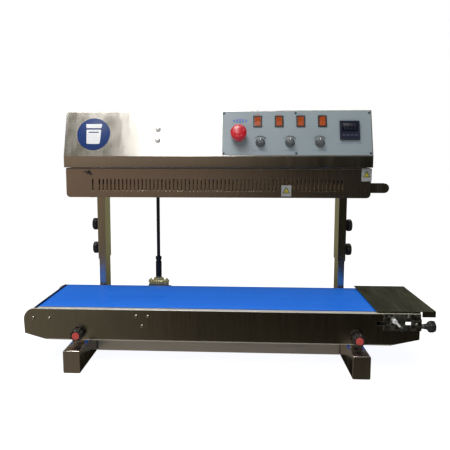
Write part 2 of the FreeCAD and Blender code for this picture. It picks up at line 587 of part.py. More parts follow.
deck_top = "deck_bottom + deck_thick"
sleeve_front = "column_y - sleeve_depth / 2"
sleeve_back = "column_y + sleeve_depth / 2"
sleeves = []
clamps = []
for side, outward in (("left", "-X"), ("right", "+X")):
    centre = "post_%s_x" % side
    sign = "-" if side == "left" else "+"
    wide = (centre + " - sleeve_width / 2", centre + " + sleeve_width / 2")
    shell = block(wide, (sleeve_front, sleeve_back), ("sleeve_bottom", "deck_bottom"))
    face = "%s %s sleeve_width / 2" % (centre, sign)
    bosses = [rod(face, "column_y", level, outward, "8", "4") for level in ("clamp_high_z", "clamp_low_z")]
    bore = block((wide[0] + " + sleeve_wall", wide[1] + " - sleeve_wall"),
                 (sleeve_front + " + sleeve_wall", sleeve_back + " - sleeve_wall"),
                 ("sleeve_bottom - 1", "deck_bottom + 1"))
    inner_face = "%s %s (sleeve_width / 2 - sleeve_wall - 0.2)" % (centre, sign)
    stud_holes = [rod(inner_face, "column_y", level, outward, "clamp_stud + running_gap", "sleeve_wall + 5")
                  for level in ("clamp_high_z", "clamp_low_z")]
    sleeves.append(cut(join(shell, *bosses), bore, *stud_holes))
    for level in ("high", "low"):
        grip = turned("0", "0", "0", "+Z",
                      [("0", "0"), ("7", "0"), ("clamp_radius", "4"), ("clamp_radius", "14"),
                       ("clamp_radius - 3", "clamp_reach - 5"), ("0", "clamp_reach - 5")])
        grip = fluted(grip, 7, "clamp_radius + 3.4", "5", "clamp_reach")
        knob_face = "%s %s 4.4" % (face, sign)
        place(grip, knob_face, "column_y", "clamp_%s_z" % level, outward)
        stud_start = "%s %s (sleeve_width / 2 - sleeve_wall - 0.1)" % (centre, sign)
        stud = rod(stud_start, "column_y", "clamp_%s_z" % level, outward, "clamp_stud", "sleeve_wall + 4.5")
        clamps.append(("clamp_knob_%s_%s" % (side, level), group(grip, stud)))
node("sleeves", group(*sleeves))
for name, knob in clamps:
    node(name, knob)

wheel_rear_y = "wheel_front_y + wheel_gap"
WHEELS = {"drive_wheel_front": ("wheel_left_x", "wheel_front_y"),
          "drive_wheel_rear": ("wheel_left_x", wheel_rear_y),
          "idler_wheel_front": ("wheel_right_x", "wheel_front_y"),
          "idler_wheel_rear": ("wheel_right_x", wheel_rear_y)}

deck = block(("guard_left + 2", "guard_right - 2"), ("guard_front + sheet + 0.3", "head_back - 2"),
             ("deck_bottom", deck_top))
deck_bores = [rod(x, y, "deck_bottom - 1", "+Z", "wheel_shaft + running_gap", "deck_thick + 2")
              for x, y in WHEELS.values()]
rod_mouth = rod("shaft_x", "shaft_y", "deck_bottom - 1", "+Z", "14", "deck_thick + 2")
node("head_deck", cut(deck, rod_mouth, *deck_bores))

# The cover: slanted control face, flat top, straight back, closed ends, open underneath.
top_y = "fold_y + slope_length * sin(cover_tilt)"
top_z = "fold_z + slope_length * cos(cover_tilt)"


def cover_profile(skin):
    """The cover's end outline, moved inward by the skin."""
    front = "fold_y + " + skin
    lean = "(%s) * (1 / cos(cover_tilt) - 1)" % skin
    roof = "%s - %s" % (top_z, skin)
    corner = "%s + %s / cos(cover_tilt) - %s * tan(cover_tilt)" % (top_y, skin, skin)
    floor = "lip_bottom" if skin == "0" else "lip_bottom - 5"
    return [(front, floor), (front, "fold_z - " + lean), (corner, roof), ("head_back - " + skin, roof),
            ("head_back - " + skin, floor)]


cover_outer = place(extruded("YZ", cover_profile("0"), "head_right - head_left"), "head_left", "0", "0")
cover_inner = place(extruded("YZ", cover_profile("sheet"), "head_right - head_left - 2 * sheet"),
                    "head_left + sheet", "0", "0")
panel_hole = on_slope(group(block(("panel_left + panel_margin", "panel_right - panel_margin"), ("-5", "5"),
                                  ("panel_low + panel_margin", "panel_high - panel_margin"))))
dome_holes = on_slope(group(*[rod("dome_x", "-5", up, "+Y", "3", "12") for up in ("dome_low", "dome_high")]))

panel_screw_columns = ("panel_left + screw_inset", "(panel_left + panel_right) / 2 - 1",
                       "panel_right - screw_inset")
panel_screw_places = [(x, up) for x in panel_screw_columns for up in ("screw_row_low", "screw_row_high")]
panel_screws = on_slope(group(*[button_screw(x, "-panel_thick", up, "-Y", "screw_head", "1.5",
                                             "panel_thick + sheet")
                                for x, up in panel_screw_places]))
node("top_cover", cut(cover_outer, cover_inner, panel_hole, dome_holes, panel_screws))


def dome_nut(up):
    """A dome nut screwed down on the cover from outside."""
    return turned("dome_x", "0", up, "-Y", [("0", "-4"), ("3", "-4"), ("3", "0"), ("dome_radius", "0"),
                                            ("dome_radius", "2"), ("dome_radius * 0.87", "4"),
                                            ("dome_radius * 0.5", "6"), ("0", "6.8")])


dome_nuts = on_slope(group(dome_nut("dome_low"), dome_nut("dome_high")))
node("cover_fasteners", group(panel_screws, dome_nuts))

guard = doc.addObject("PartDesign::Body", "guard")
guard_outline = sketch_in(guard, "XZ", [("guard_left", "guard_top"), ("guard_left", "guard_bottom"),
                                        ("guard_right", "guard_bottom"), ("guard_right", "guard_top")])
guard_pad = guard.newObject("PartDesign::Pad", "guard_pad")
guard_pad.Profile = guard_outline
guard_pad.setExpression("Length", formula("sheet"))
guard_pad.Reversed = True
doc.recompute()
low_edges = ["Edge%d" % (number + 1) for number, edge in enumerate(guard_pad.Shape.Edges)
             if abs(edge.Length - SIZES["sheet"]) < 0.01 and edge.CenterOfMass.z < SIZES["guard_bottom"] + 1]
guard_round = guard.newObject("PartDesign::Fillet", "guard_round")
guard_round.Base = (guard_pad, low_edges)
guard_round.setExpression("Radius", formula("guard_round"))
slot_sketch = sketch_in(guard, "XZ", [("slot_first_x - slot_width / 2", "slot_low"),
                                      ("slot_first_x + slot_width / 2", "slot_low"),
                                      ("slot_first_x + slot_width / 2", "slot_high"),
                                      ("slot_first_x - slot_width / 2", "slot_high")])
slot_cut = guard.newObject("PartDesign::Pocket", "slot_cut")
slot_cut.Profile = slot_sketch
slot_cut.setExpression("Length", formula("sheet"))
slot_cut.Reversed = False
doc.recompute()
slot_row = guard.newObject("PartDesign::LinearPattern", "slot_row")
slot_row.Originals = [slot_cut]
slot_row.Direction = (slot_sketch, ["H_Axis"])
slot_row.setExpression("Length", formula("slot_pitch * (slot_count - 1)"))
slot_row.setExpression("Occurrences", formula("slot_count"))
guard.Tip = slot_row
doc.recompute()
place(guard, "0", "guard_front", "0")
guard_fold = block(("guard_left + guard_round", "guard_right - guard_round"),
                   ("guard_front", "guard_front + guard_return"), ("guard_bottom", "guard_bottom + sheet"))
lone_slot = block(("slot_alone_x - slot_width / 2", "slot_alone_x + slot_width / 2"),
                  ("guard_front - 1", "guard_front + 3"), ("slot_low", "slot_high"))
wing_bore = rod("wing_x", "guard_front - 1", "wing_z", "+Y", "2.5 + running_gap", "sheet + 2")
shaft_notch = rod("wheel_left_x", "wheel_front_y", "guard_bottom - 1", "+Z", "11", "4")
node("slotted_guard", cut(join(guard, guard_fold), lone_slot, wing_bore, shaft_notch))
node("rear_guard", block(("guard_left", "guard_right"), ("rear_guard_y", "rear_guard_y + sheet"),
                         ("guard_bottom + 4", "deck_bottom")))

wing_hub = turned("wing_x", "guard_front", "wing_z", "-Y",
                  [("0", "-6"), ("2.5", "-6"), ("2.5", "0.3"), ("4.5", "0.3"),
                                                           ("4", "6"), ("0", "6")])
wings = block(("wing_x - 9", "wing_x + 9"), ("guard_front - 9", "guard_front - 2"),
              ("wing_z - 1.2", "wing_z + 1.2"))
node("guard_screw", join(wing_hub, wings))

# ---- control panel, drawn in the slope's own frame: x along the head, z up the slope ----

panel_sheet = block(("panel_left", "panel_right"), ("-panel_thick", "0"), ("panel_low", "panel_high"))
rocker_places = ["rocker_x + %d * rocker_pitch" % number for number in range(4)]
dial_places = ["dial_x + %d * dial_pitch" % number for number in range(3)]
rocker_holes = [block((x + " - 9.7", x + " + 9.7"), ("-5", "5"), ("rocker_up - 13.7", "rocker_up + 13.7"))
                for x in rocker_places]
dial_holes = [rod(x, "-5", "dial_up", "+Y", "3.5 + running_gap", "10") for x in dial_places]
estop_hole = rod("estop_x", "-5", "estop_up", "+Y", "estop_stem + 1.5", "10")
half_body = "controller_size / 2 - 1.5"
controller_hole = block(("controller_x - (%s)" % half_body, "controller_x + " + half_body), ("-5", "5"),
                        ("controller_up - (%s)" % half_body, "controller_up + " + half_body))
flat_screws = group(*[button_screw(x, "-panel_thick", up, "-Y", "screw_head", "1.5", "panel_thick + sheet")
                      for x, up in panel_screw_places])
node("control_panel", on_slope(cut(panel_sheet, *rocker_holes, *dial_holes, estop_hole, controller_hole,
                                   flat_screws)))


def rocker_frame(x):
    """The switch's frame and its hollow body behind the panel."""
    rim = block((x + " - rocker_frame_wide / 2", x + " + rocker_frame_wide / 2"),
                ("-panel_thick - 2", "-panel_thick"),
                ("rocker_up - rocker_frame_tall / 2", "rocker_up + rocker_frame_tall / 2"))
    housing = block((x + " - 9.5", x + " + 9.5"), ("-panel_thick", "19"),
                    ("rocker_up - 13.5", "rocker_up + 13.5"))
    well = block((x + " - rocker_wide / 2 - 0.4", x + " + rocker_wide / 2 + 0.4"), ("-panel_thick - 3", "10"),
                 ("rocker_up - rocker_tall / 2 - 1.2", "rocker_up + rocker_tall / 2 + 1.2"))
    return cut(join(rim, housing), well)


collar = turned("estop_x", "-panel_thick", "estop_up", "-Y",
                [("estop_stem + running_gap", "-22"), ("estop_stem + 1.4", "-22"), ("estop_stem + 1.4", "0"),
                 ("16", "0"), ("15", "4"), ("estop_stem + running_gap", "4")])
sockets = [turned(x, "-panel_thick", "dial_up", "-Y", [("0", "-22"), ("9", "-22"), ("9", "-8"), ("0", "-8")])
           for x in dial_places]
fittings = [rocker_frame(x) for x in rocker_places] + [collar] + sockets
node("panel_fittings", on_slope(group(*fittings)))

estop = turned("estop_x", "-panel_thick", "estop_up", "-Y",
               [("0", "-12"), ("estop_stem", "-12"), ("estop_stem", "9.6"), ("estop_radius - 2", "10"),
                ("estop_radius", "13"), ("estop_radius", "28"), ("estop_radius * 0.85", "32.5"),
                ("estop_radius * 0.55", "35"), ("0", "36")])
node("estop_button", on_slope(group(estop)))

for number, x in enumerate(rocker_places):
    half = "rocker_tall / 2"
    body = extruded("YZ", [("-5.5", half), ("-1", half), ("5.5", "3.5"), ("5.5", "-3.5"),
                           ("-1", "0 - " + half),
                           ("-5.5", "0 - " + half), ("-4.2", "0")], "rocker_wide")
    body = join(body, rod("-0.3", "0", "0", "+X", "1.5", "rocker_wide + 0.6"))
    body.Placement = FreeCAD.Placement(Vector(), FreeCAD.Rotation(Vector(1, 0, 0), SIZES["rocker_lean"]))
    body.setExpression("Placement.Base.x", formula(x + " - rocker_wide / 2"))
    body.setExpression("Placement.Base.z", formula("rocker_up"))
    node("rocker_switch_%d" % (number + 1), on_slope(group(body)))

for number, x in enumerate(dial_places):
    knob = turned("0", "0", "0", "+Z",
                  [("0", "-7.5"), ("3.5", "-7.5"), ("3.5", "0.4"), ("dial_radius", "0.4"),
                   ("dial_radius", "4"),
                   ("dial_radius - 2.5", "5.5"), ("dial_radius - 3", "dial_height - 1"),
                   ("dial_radius - 4", "dial_height"), ("0", "dial_height")])
    pointer = block(("-0.6", "0.6"), ("2", "dial_radius - 4.5"), ("dial_height - 0.5", "dial_height + 0.4"))
    whole = place(join(knob, pointer), x, "-panel_thick", "dial_up", "-Y")
    node("dial_knob_%d" % (number + 1), on_slope(group(whole)))

half_face = "controller_size / 2"
controller_rim = block(("controller_x - " + half_face, "controller_x + " + half_face),
                       ("-panel_thick - controller_lip", "-panel_thick"),
                       ("controller_up - " + half_face, "controller_up + " + half_face))
controller_recess = block(("controller_x - 20", "controller_x + 20"),
                          ("-panel_thick - controller_lip - 1", "-panel_thick - controller_lip + 1"),
                          ("controller_up - 18", "controller_up + 20"))
controller_back = block(("controller_x - (%s)" % half_body, "controller_x + " + half_body),
                        ("-panel_thick", "controller_depth"),
                        ("controller_up - (%s)" % half_body, "controller_up + " + half_body))
keys = [block(("controller_x %+d - 3.5" % offset, "controller_x %+d + 3.5" % offset),
              ("-panel_thick - controller_lip", "-panel_thick - controller_lip + 1"),
              ("controller_up - 15.5", "controller_up - 12")) for offset in (-15, -5, 5, 15)]
node("temperature_controller", on_slope(group(join(cut(controller_rim, controller_recess), controller_back,
                                                   *keys))))

# ---- sealing unit: wheels, bands, heating and cooling blocks, infeed guide ----


def band_wheel(x, y, tail, top):
    """A rubber-faced wheel with its upright shaft through the deck and a nut below."""
    rim = "wheel_radius"
    return turned(x, y, "wheel_low", "+Z",
                  [("0", tail), ("8", tail), ("8", tail + " + 6"), ("wheel_shaft", tail + " + 6"),
                   ("wheel_shaft", "-3"), ("10", "-3"), ("10", "0"), (rim, "0"), (rim, "wheel_thick"),
                   ("10", "wheel_thick"), ("10", "wheel_thick + 3"), ("wheel_shaft", "wheel_thick + 3"),
                   ("wheel_shaft", top + " - wheel_low"), ("0", top + " - wheel_low")])


def spur_gear(x, y, z, phase):
    """A gear with straight-sided teeth, bored for the wheel shaft."""
    body = doc.addObject("PartDesign::Body", "gear")
    disc = sketch_in(body, "XZ", [("wheel_shaft", "0"), ("gear_root", "0"), ("gear_root", "gear_thick"),
                                  ("wheel_shaft", "gear_thick")])
    spin = body.newObject("PartDesign::Revolution", "disc")
    spin.Profile = disc
    spin.ReferenceAxis = (disc, ["V_Axis"])
    spin.Angle = 360
    tooth = sketch_in(body, "XY", [("gear_root - 1", "2"), ("gear_root", "1.85"), ("gear_tip", "0.7"),
                                   ("gear_tip", "-0.7"), ("gear_root", "-1.85"), ("gear_root - 1", "-2")])
    pad = body.newObject("PartDesign::Pad", "tooth")
    pad.Profile = tooth
    pad.setExpression("Length", formula("gear_thick"))
    doc.recompute()
    teeth = body.newObject("PartDesign::PolarPattern", "teeth")
    teeth.Originals = [pad]
    teeth.Axis = (disc, ["V_Axis"])
    teeth.Angle = 360
    teeth.Occurrences = 24
    body.Tip = teeth
    doc.recompute()
    place(body, x, y, z)
    body.Placement.Rotation = FreeCAD.Rotation(Vector(0, 0, 1), phase)
    return body


for name, (x, y) in WHEELS.items():
    if "drive" in name:
        pieces = [band_wheel(x, y, "-20", "gear_low + gear_thick + 16")]
    else:
        pieces = [band_wheel(x, y, "-12", deck_top + " + 6")]
    if "drive" in name:
        pieces.append(spur_gear(x, y, "gear_low", 0 if "front" in name else 7.5))
    if name == "drive_wheel_rear":
        pieces.append(toothed_wheel(x, y, "sprocket_low", "+Z", "wheel_shaft", "sprocket_radius",
                                    "sprocket_thick", 17))
    node(name, group(*pieces))

bands = []
for y in ("wheel_front_y", wheel_rear_y):
    band = loop("wheel_right_x - wheel_left_x", "wheel_radius + band_gap", "wheel_radius + band_gap",
                "band_sheet",
                "band_wide")
    bands.append(place(band, "wheel_left_x", y, "band_low"))
node("sealing_bands", group(*bands))

pinch_front = "wheel_front_y + wheel_radius + band_gap"
pinch_rear = wheel_rear_y + " - wheel_radius - band_gap"


def block_pair(left, right, fins):
    """Two blocks that press the bands together from inside their loops, hung from the deck."""
    pair = []
    for y in ((pinch_front + " - 0.3 - block_thick", pinch_front + " - 0.3"),
              (pinch_rear + " + 0.3", pinch_rear + " + 0.3 + block_thick")):
        body = block((left, right), y, ("block_low", "block_high"))
        hangers = [rod(x, "(%s + %s) / 2" % y, "block_high - 1", "+Z", "3", "deck_bottom - block_high + 1")
                   for x in (left + " + 12", right + " - 12")]
        slits = [block((left + " + %d" % step, left + " + %d" % (step + 3)), (y[0] + " - 1", y[1] + " + 1"),
                       ("block_low + 20", "block_high + 1")) for step in range(26, 132, 8)] if fins else []
        pair.append(join(cut(body, *slits), *hangers) if fins else join(body, *hangers))
    return group(*pair)


node("heating_blocks", block_pair("heater_left", "heater_right", False))
node("cooling_blocks", block_pair("cooler_left", "cooler_right", True))


def guide_bar(y):
    """One guide bar with a round outer end, and the arm that hangs it from the deck."""
    level = ("guide_low", "guide_low + guide_tall")
    round_end = "guide_tall / 2"
    bar = block(("guide_left", "guide_right - " + round_end), (y, y + " + guide_sheet"), level)
    nose_end = rod("guide_right - " + round_end, y, "guide_low + " + round_end, "+Y", round_end,
                   "guide_sheet")
    arm = block(("guard_right - 26", "guard_right - 8"), (y, y + " + guide_sheet"),
                (level[1] + " - 1", "deck_bottom"))
    return join(bar, nose_end, arm)


rear_guide_y = "guide_front_y + guide_sheet + guide_slot"
bars = [guide_bar("guide_front_y"), guide_bar(rear_guide_y)]
node("infeed_guide", group(*bars))

# ---- head drive: gearmotor, chain to the upright shaft, power supply ----

gearbox_low = "gear_low + gear_thick + 17"
pillars = [rod("wheel_left_x %+d" % dx, "%s %+d" % (wheel_rear_y, dy), deck_top, "+Z", "4",
               gearbox_low + " - (" + deck_top + ")")
           for dx, dy in ((-26, -28), (26, -28), (-26, 24), (26, 24))]
gearbox = block(("wheel_left_x - 32", "wheel_left_x + 32"), (wheel_rear_y + " - 34", wheel_rear_y + " + 30"),
                (gearbox_low, gearbox_low + " + 58"))
motor = rod("wheel_left_x + 32", wheel_rear_y, gearbox_low + " + 30", "+X", "27", "110")
node("drive_motor", join(gearbox, motor, *pillars))

hub = turned("0", "0", "0", "+Z", [("rod_radius + running_gap", "0"), ("11", "0"), ("11", "24"),
                                    ("rod_radius + running_gap", "24")])
hub = place(hub, "shaft_x", "shaft_y", deck_top + " + 1")
hub_wheel = toothed_wheel("shaft_x", "shaft_y", "sprocket_low", "+Z", "11", "sprocket_radius",
                          "sprocket_thick", 17)
node("hub_sprocket", group(hub, hub_wheel))

chain_dx = "shaft_x - wheel_left_x"
chain_dy = "shaft_y - (%s)" % wheel_rear_y
head_chain = loop("sqrt((%s)^2 + (%s)^2)" % (chain_dx, chain_dy), "sprocket_radius + chain_gap",
                  "sprocket_radius + chain_gap", "chain_sheet", "sprocket_thick - 0.6")
place(head_chain, "wheel_left_x", wheel_rear_y, "sprocket_low + 0.3")
run_x = SIZES["shaft_x"] - SIZES["wheel_left_x"]
run_y = SIZES["shaft_y"] - SIZES["wheel_front_y"] - SIZES["wheel_gap"]
head_chain.Placement.Rotation = FreeCAD.Rotation(Vector(0, 0, 1), math.degrees(math.atan2(run_y, run_x)))
node("head_chain", head_chain)
supply_case = block(("20", "200"), ("head_back - 70", "head_back - 6"), (deck_top, deck_top + " + 78"))
supply_hollow = block(("21.5", "198.5"), ("head_back - 68.5", "head_back - 7.5"),
                      (deck_top + " + 1.5", deck_top + " + 76.5"))
supply_vent = block(("30", "190"), ("head_back - 72", "head_back - 60"),
                    (deck_top + " + 60", deck_top + " + 68"))
node("power_supply", cut(supply_case, supply_hollow, supply_vent))

# ---- checks and export ----

doc.recompute()
failed = [item.Label for item in doc.Objects if "Invalid" in item.State or "Error" in item.State]
for item in NODES:
    if item.Shape.isNull() or not item.Shape.isValid() or not item.Shape.Solids:
        failed.append(item.Label)
if failed:
    raise SystemExit("failed: " + ", ".join(failed))

os.makedirs("parts", exist_ok=True)
outline = FreeCAD.BoundBox()
for item in NODES:
    item.Shape.exportStep("parts/%s.step" % item.Label)
    outline.add(item.Shape.BoundBox)
    print("%-24s %2d solids %9.1f cm3" % (item.Label, len(item.Shape.Solids), item.Shape.Volume / 1000))
print(len(NODES), "sub-parts; outline", [round(value, 1) for value in (
    outline.XMin, outline.XMax, outline.YMin, outline.YMax, outline.ZMin, outline.ZMax)])
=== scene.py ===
# %% [markdown]
# # A continuous band sealer, lit and finished in Blender
#
# The machine seals the mouths of filled bags. The bags stand on a blue belt and their open ends
# run through a heated head above it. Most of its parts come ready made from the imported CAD
# model. This lesson gives every surface a real finish, and remakes the pieces whose beauty is in
# their roundness: pressed sheet, knobs, screws and the belt.

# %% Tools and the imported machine
import json
import math

import bmesh
import bpy
import numpy as np
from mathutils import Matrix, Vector


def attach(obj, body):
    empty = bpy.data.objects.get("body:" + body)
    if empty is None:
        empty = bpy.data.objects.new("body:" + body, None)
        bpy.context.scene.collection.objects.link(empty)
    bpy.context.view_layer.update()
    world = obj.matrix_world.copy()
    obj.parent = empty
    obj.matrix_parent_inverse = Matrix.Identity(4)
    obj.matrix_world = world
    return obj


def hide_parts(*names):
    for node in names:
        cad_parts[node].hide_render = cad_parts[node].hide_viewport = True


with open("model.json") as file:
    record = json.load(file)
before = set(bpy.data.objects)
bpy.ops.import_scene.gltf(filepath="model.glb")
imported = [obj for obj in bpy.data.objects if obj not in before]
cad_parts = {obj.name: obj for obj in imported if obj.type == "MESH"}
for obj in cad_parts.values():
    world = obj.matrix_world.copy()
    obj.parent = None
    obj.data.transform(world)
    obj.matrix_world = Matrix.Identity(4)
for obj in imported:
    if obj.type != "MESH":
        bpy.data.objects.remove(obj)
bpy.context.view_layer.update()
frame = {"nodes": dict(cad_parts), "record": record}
MM = 0.001

# %% [markdown]
# ## The camera
#
# The camera stands about 1.3 m in front of the machine, level with its head, and looks slightly
# down and to the left. A lens is given as a focal length for a 36 mm wide sensor. The small
# shift slides the picture on the sensor without turning the camera.

# %% Camera
camera_data = bpy.data.cameras.new("studio_camera")
camera_data.lens = 41.76
camera_data.sensor_width = 36.0
camera_data.shift_x = 0.0327
camera_data.shift_y = -0.0233
camera = bpy.data.objects.new("studio_camera", camera_data)
bpy.context.scene.collection.objects.link(camera)
camera.location = (0.027, -1.3468, 0.4953)
camera.rotation_euler = (math.radians(90 - 6.29), 0.0, math.radians(3.05))
bpy.context.scene.camera = camera
bpy.context.scene.view_settings.view_transform = "Standard"
print("camera at", tuple(round(value, 3) for value in camera.location))

# %% [markdown]
# ## Shader nodes in a line or two
#
# A finish is a small network of shader nodes. The helper below adds one node and fills its
# inputs: a value is typed in, and the output of another node is linked. Each finish can then be
# read from top to bottom like a recipe.


# %% Helper for shader nodes
def add(tree, kind, inputs=None, **settings):
    """Adds a node; settings are its own properties, inputs are values or outputs to link."""
    made = tree.nodes.new(kind)
    for name, value in settings.items():
        setattr(made, name, value)
    for name, value in (inputs or {}).items():
        socket = made.inputs[name]
        if isinstance(value, bpy.types.NodeSocket):
            tree.links.new(value, socket)
        else:
            socket.default_value = value
    return made


def start(name):
    """A new material with an empty network and its output."""
    material = bpy.data.materials.new(name)
    material.use_nodes = True
    tree = material.node_tree
    tree.nodes.clear()
    return material, tree


def colour(red, green, blue):
    """A colour with full opacity."""
    return (red, green, blue, 1.0)


def place_of(tree, scale=(1.0, 1.0, 1.0), offset=(0.0, 0.0, 0.0)):
    """Object coordinates, stretched: a large scale on an axis means fine detail along it."""
    where = add(tree, "ShaderNodeTexCoord")
    return add(tree, "ShaderNodeMapping",
               {"Vector": where.outputs["Object"], "Scale": scale, "Location": offset}).outputs[0]


def noise(tree, scale, size, detail=3.0, rough=0.55):
    """Cloudy noise between 0 and 1 on the stretched object coordinates."""
    return add(tree, "ShaderNodeTexNoise",
               {"Vector": place_of(tree, scale), "Scale": size, "Detail": detail,
                "Roughness": rough}).outputs[0]


def ramp(tree, value, low, high, out_low=0.0, out_high=1.0):
    """Moves a value from one range to another and stops at the ends."""
    return add(tree, "ShaderNodeMapRange",
               {"Value": value, "From Min": low, "From Max": high, "To Min": out_low,
                "To Max": out_high}).outputs[0]


def mix(tree, share, first, second):
    """A blend of two colours by a share between 0 and 1."""
    made = add(tree, "ShaderNodeMix", data_type="RGBA")
    for index, value in ((0, share), (6, first), (7, second)):
        if isinstance(value, bpy.types.NodeSocket):
            tree.links.new(value, made.inputs[index])
        else:
            made.inputs[index].default_value = value
    return made.outputs[2]


def maths(tree, operation, first, second=0.0):
    """One sum with one or two numbers."""
    made = add(tree, "ShaderNodeMath", operation=operation)
    for index, value in ((0, first), (1, second)):
        if isinstance(value, bpy.types.NodeSocket):
            tree.links.new(value, made.inputs[index])
        else:
            made.inputs[index].default_value = value
    return made.outputs[0]


def edge_worn(tree, radius=0.0012):
    """Near 1 on sharp edges, 0 on flats: where a rounded normal leaves the true one."""
    rounded = add(tree, "ShaderNodeBevel", {"Radius": radius}, samples=4).outputs[0]
    true_normal = add(tree, "ShaderNodeNewGeometry").outputs["True Normal"]
    same = add(tree, "ShaderNodeVectorMath", {0: rounded, 1: true_normal}, operation="DOT_PRODUCT")
    return ramp(tree, same.outputs["Value"], 0.99, 0.86), rounded


def close(tree, base, rough, metal=0.0, height=None, depth=0.0002, strength=0.4, normal=None,
          coat=0.0, coat_rough=0.1, ior=1.5, sheen=0.0, emission=None):
    """Ends a recipe: one physically based shader, with a bump from the height if there is one."""
    shader = add(tree, "ShaderNodeBsdfPrincipled",
                 {"Base Color": base, "Roughness": rough, "Metallic": metal, "IOR": ior,
                  "Coat Weight": coat, "Coat Roughness": coat_rough, "Sheen Weight": sheen})
    if emission is not None:
        shader.inputs["Emission Color"].default_value = emission[0]
        shader.inputs["Emission Strength"].default_value = emission[1]
    if height is not None:
        bump = add(tree, "ShaderNodeBump", {"Height": height, "Distance": depth,
                                            "Strength": strength})
        if normal is not None:
            tree.links.new(normal, bump.inputs["Normal"])
        normal = bump.outputs[0]
    if normal is not None:
        tree.links.new(normal, shader.inputs["Normal"])
    output = add(tree, "ShaderNodeOutputMaterial")
    tree.links.new(shader.outputs[0], output.inputs["Surface"])


print("shader helpers ready")

# %% [markdown]
# ## Brushed stainless steel
#
# The sheet of this machine was brushed with an abrasive belt, which leaves thousands of fine
# lines all one way. Each line tilts the surface a little, so a reflection smears across the
# lines. A noise squeezed hard on two axes and stretched along the third makes such lines. The
# same noise moves the colour, the roughness and the height together, as it does on real metal.
# Slow clouds add fingermarks, and the edges are a little brighter where handling polished them.


# %% Steel finishes
def brushed_steel(name, light, dark, rough, lines, clouds=0.12, bump=0.12, edge=0.35, metal=1.0):
    """Steel between two tones; lines is the scale on X, Y and Z, small along the grain."""
    material, tree = start(name)
    streak = noise(tree, lines, 1.0, detail=4.0, rough=0.6)
    cloud = noise(tree, (1.0, 1.0, 1.0), 7.0, detail=4.0)
    smear = noise(tree, (lines[0] * 0.06, lines[1] * 0.06, lines[2] * 0.06), 1.0, detail=2.0)
    grain = mix(tree, ramp(tree, streak, 0.25, 0.75), colour(*dark), colour(*light))
    stained = mix(tree, ramp(tree, cloud, 0.35, 0.8, 0.0, clouds), grain,
                  colour(*[tone * 0.45 for tone in dark]))
    worn, rounded = edge_worn(tree)
    bright = colour(*[min(1.0, tone * 1.25) for tone in light])
    final = mix(tree, maths(tree, "MULTIPLY", worn, edge), stained, bright)
    grain_rough = ramp(tree, streak, 0.2, 0.8, rough - 0.04, rough + 0.06)
    hand = ramp(tree, smear, 0.3, 0.8, -0.04, 0.06)
    close(tree, final, maths(tree, "ADD", grain_rough, hand), metal=metal, height=streak,
          depth=0.00004, strength=bump, normal=rounded)
    return material


UPRIGHT = (900.0, 900.0, 14.0)
ALONG = (14.0, 900.0, 900.0)
ACROSS = (900.0, 14.0, 900.0)
finishes = {
    "stainless_bright": brushed_steel("steel_cover", (0.68, 0.65, 0.60), (0.60, 0.57, 0.52),
                                      0.20, UPRIGHT),
    "stainless_dark": brushed_steel("steel_guard", (0.56, 0.50, 0.45), (0.50, 0.45, 0.40), 0.24,
                                    UPRIGHT),
    "stainless_warm": brushed_steel("steel_column", (0.64, 0.60, 0.50), (0.56, 0.52, 0.43), 0.20,
                                    UPRIGHT),
    "bearing_steel": brushed_steel("steel_ground", (0.62, 0.61, 0.60), (0.48, 0.47, 0.46), 0.24,
                                   (300.0, 60.0, 300.0)),
    "chain_steel": brushed_steel("steel_oiled", (0.30, 0.28, 0.25), (0.16, 0.15, 0.13), 0.38,
                                 (90.0, 90.0, 90.0)),
}
print("steel finishes:", len(finishes))

# %% [markdown]
# ## Zinc, brass, aluminium and chrome
#
# Small hardware has its own coats. Galvanised plate shows angular zinc crystals, which a Voronoi texture
# draws well, because both are cells that grew from scattered seeds. The bearing housing has a yellow
# chromate coat over zinc. Brass blocks get slow clouds and a fine skin, and aluminium rollers keep
# turning marks.


# %% Other metals
def crystal_zinc(name):
    """Galvanised plate: flat cells of slightly different grey, tilt and gloss."""
    material, tree = start(name)
    cells = add(tree, "ShaderNodeTexVoronoi", {"Vector": place_of(tree), "Scale": 190.0})
    grey = add(tree, "ShaderNodeSeparateColor", {"Color": cells.outputs["Color"]}).outputs[0]
    cloud = noise(tree, (1.0, 1.0, 1.0), 40.0)
    tone = mix(tree, grey, colour(0.26, 0.28, 0.26), colour(0.52, 0.55, 0.53))
    final = mix(tree, ramp(tree, cloud, 0.45, 0.8, 0.0, 0.5), tone, colour(0.16, 0.17, 0.14))
    worn, rounded = edge_worn(tree, 0.0006)
    close(tree, mix(tree, worn, final, colour(0.7, 0.7, 0.68)), ramp(tree, grey, 0.0, 1.0, 0.22, 0.42),
          metal=1.0, height=grey, depth=0.00012, strength=0.5, normal=rounded)
    return material


def plated(name, light, dark, rough, speck=60.0, depth=0.0001, metal=1.0):
    """A plated or cast metal with slow clouds and a fine skin."""
    material, tree = start(name)
    cloud = noise(tree, (1.0, 1.0, 1.0), speck, detail=3.0)
    skin = noise(tree, (1.0, 1.0, 1.0), speck * 18.0, detail=2.0)
    tone = mix(tree, ramp(tree, cloud, 0.3, 0.75), colour(*light), colour(*dark))
    worn, rounded = edge_worn(tree, 0.0006)
    bright = colour(*[min(1.0, value * 1.2) for value in light])
    close(tree, mix(tree, maths(tree, "MULTIPLY", worn, 0.6), tone, bright),
          ramp(tree, cloud, 0.2, 0.8, rough - 0.04, rough + 0.1), metal=metal, height=skin,
          depth=depth, strength=0.35, normal=rounded)
    return material


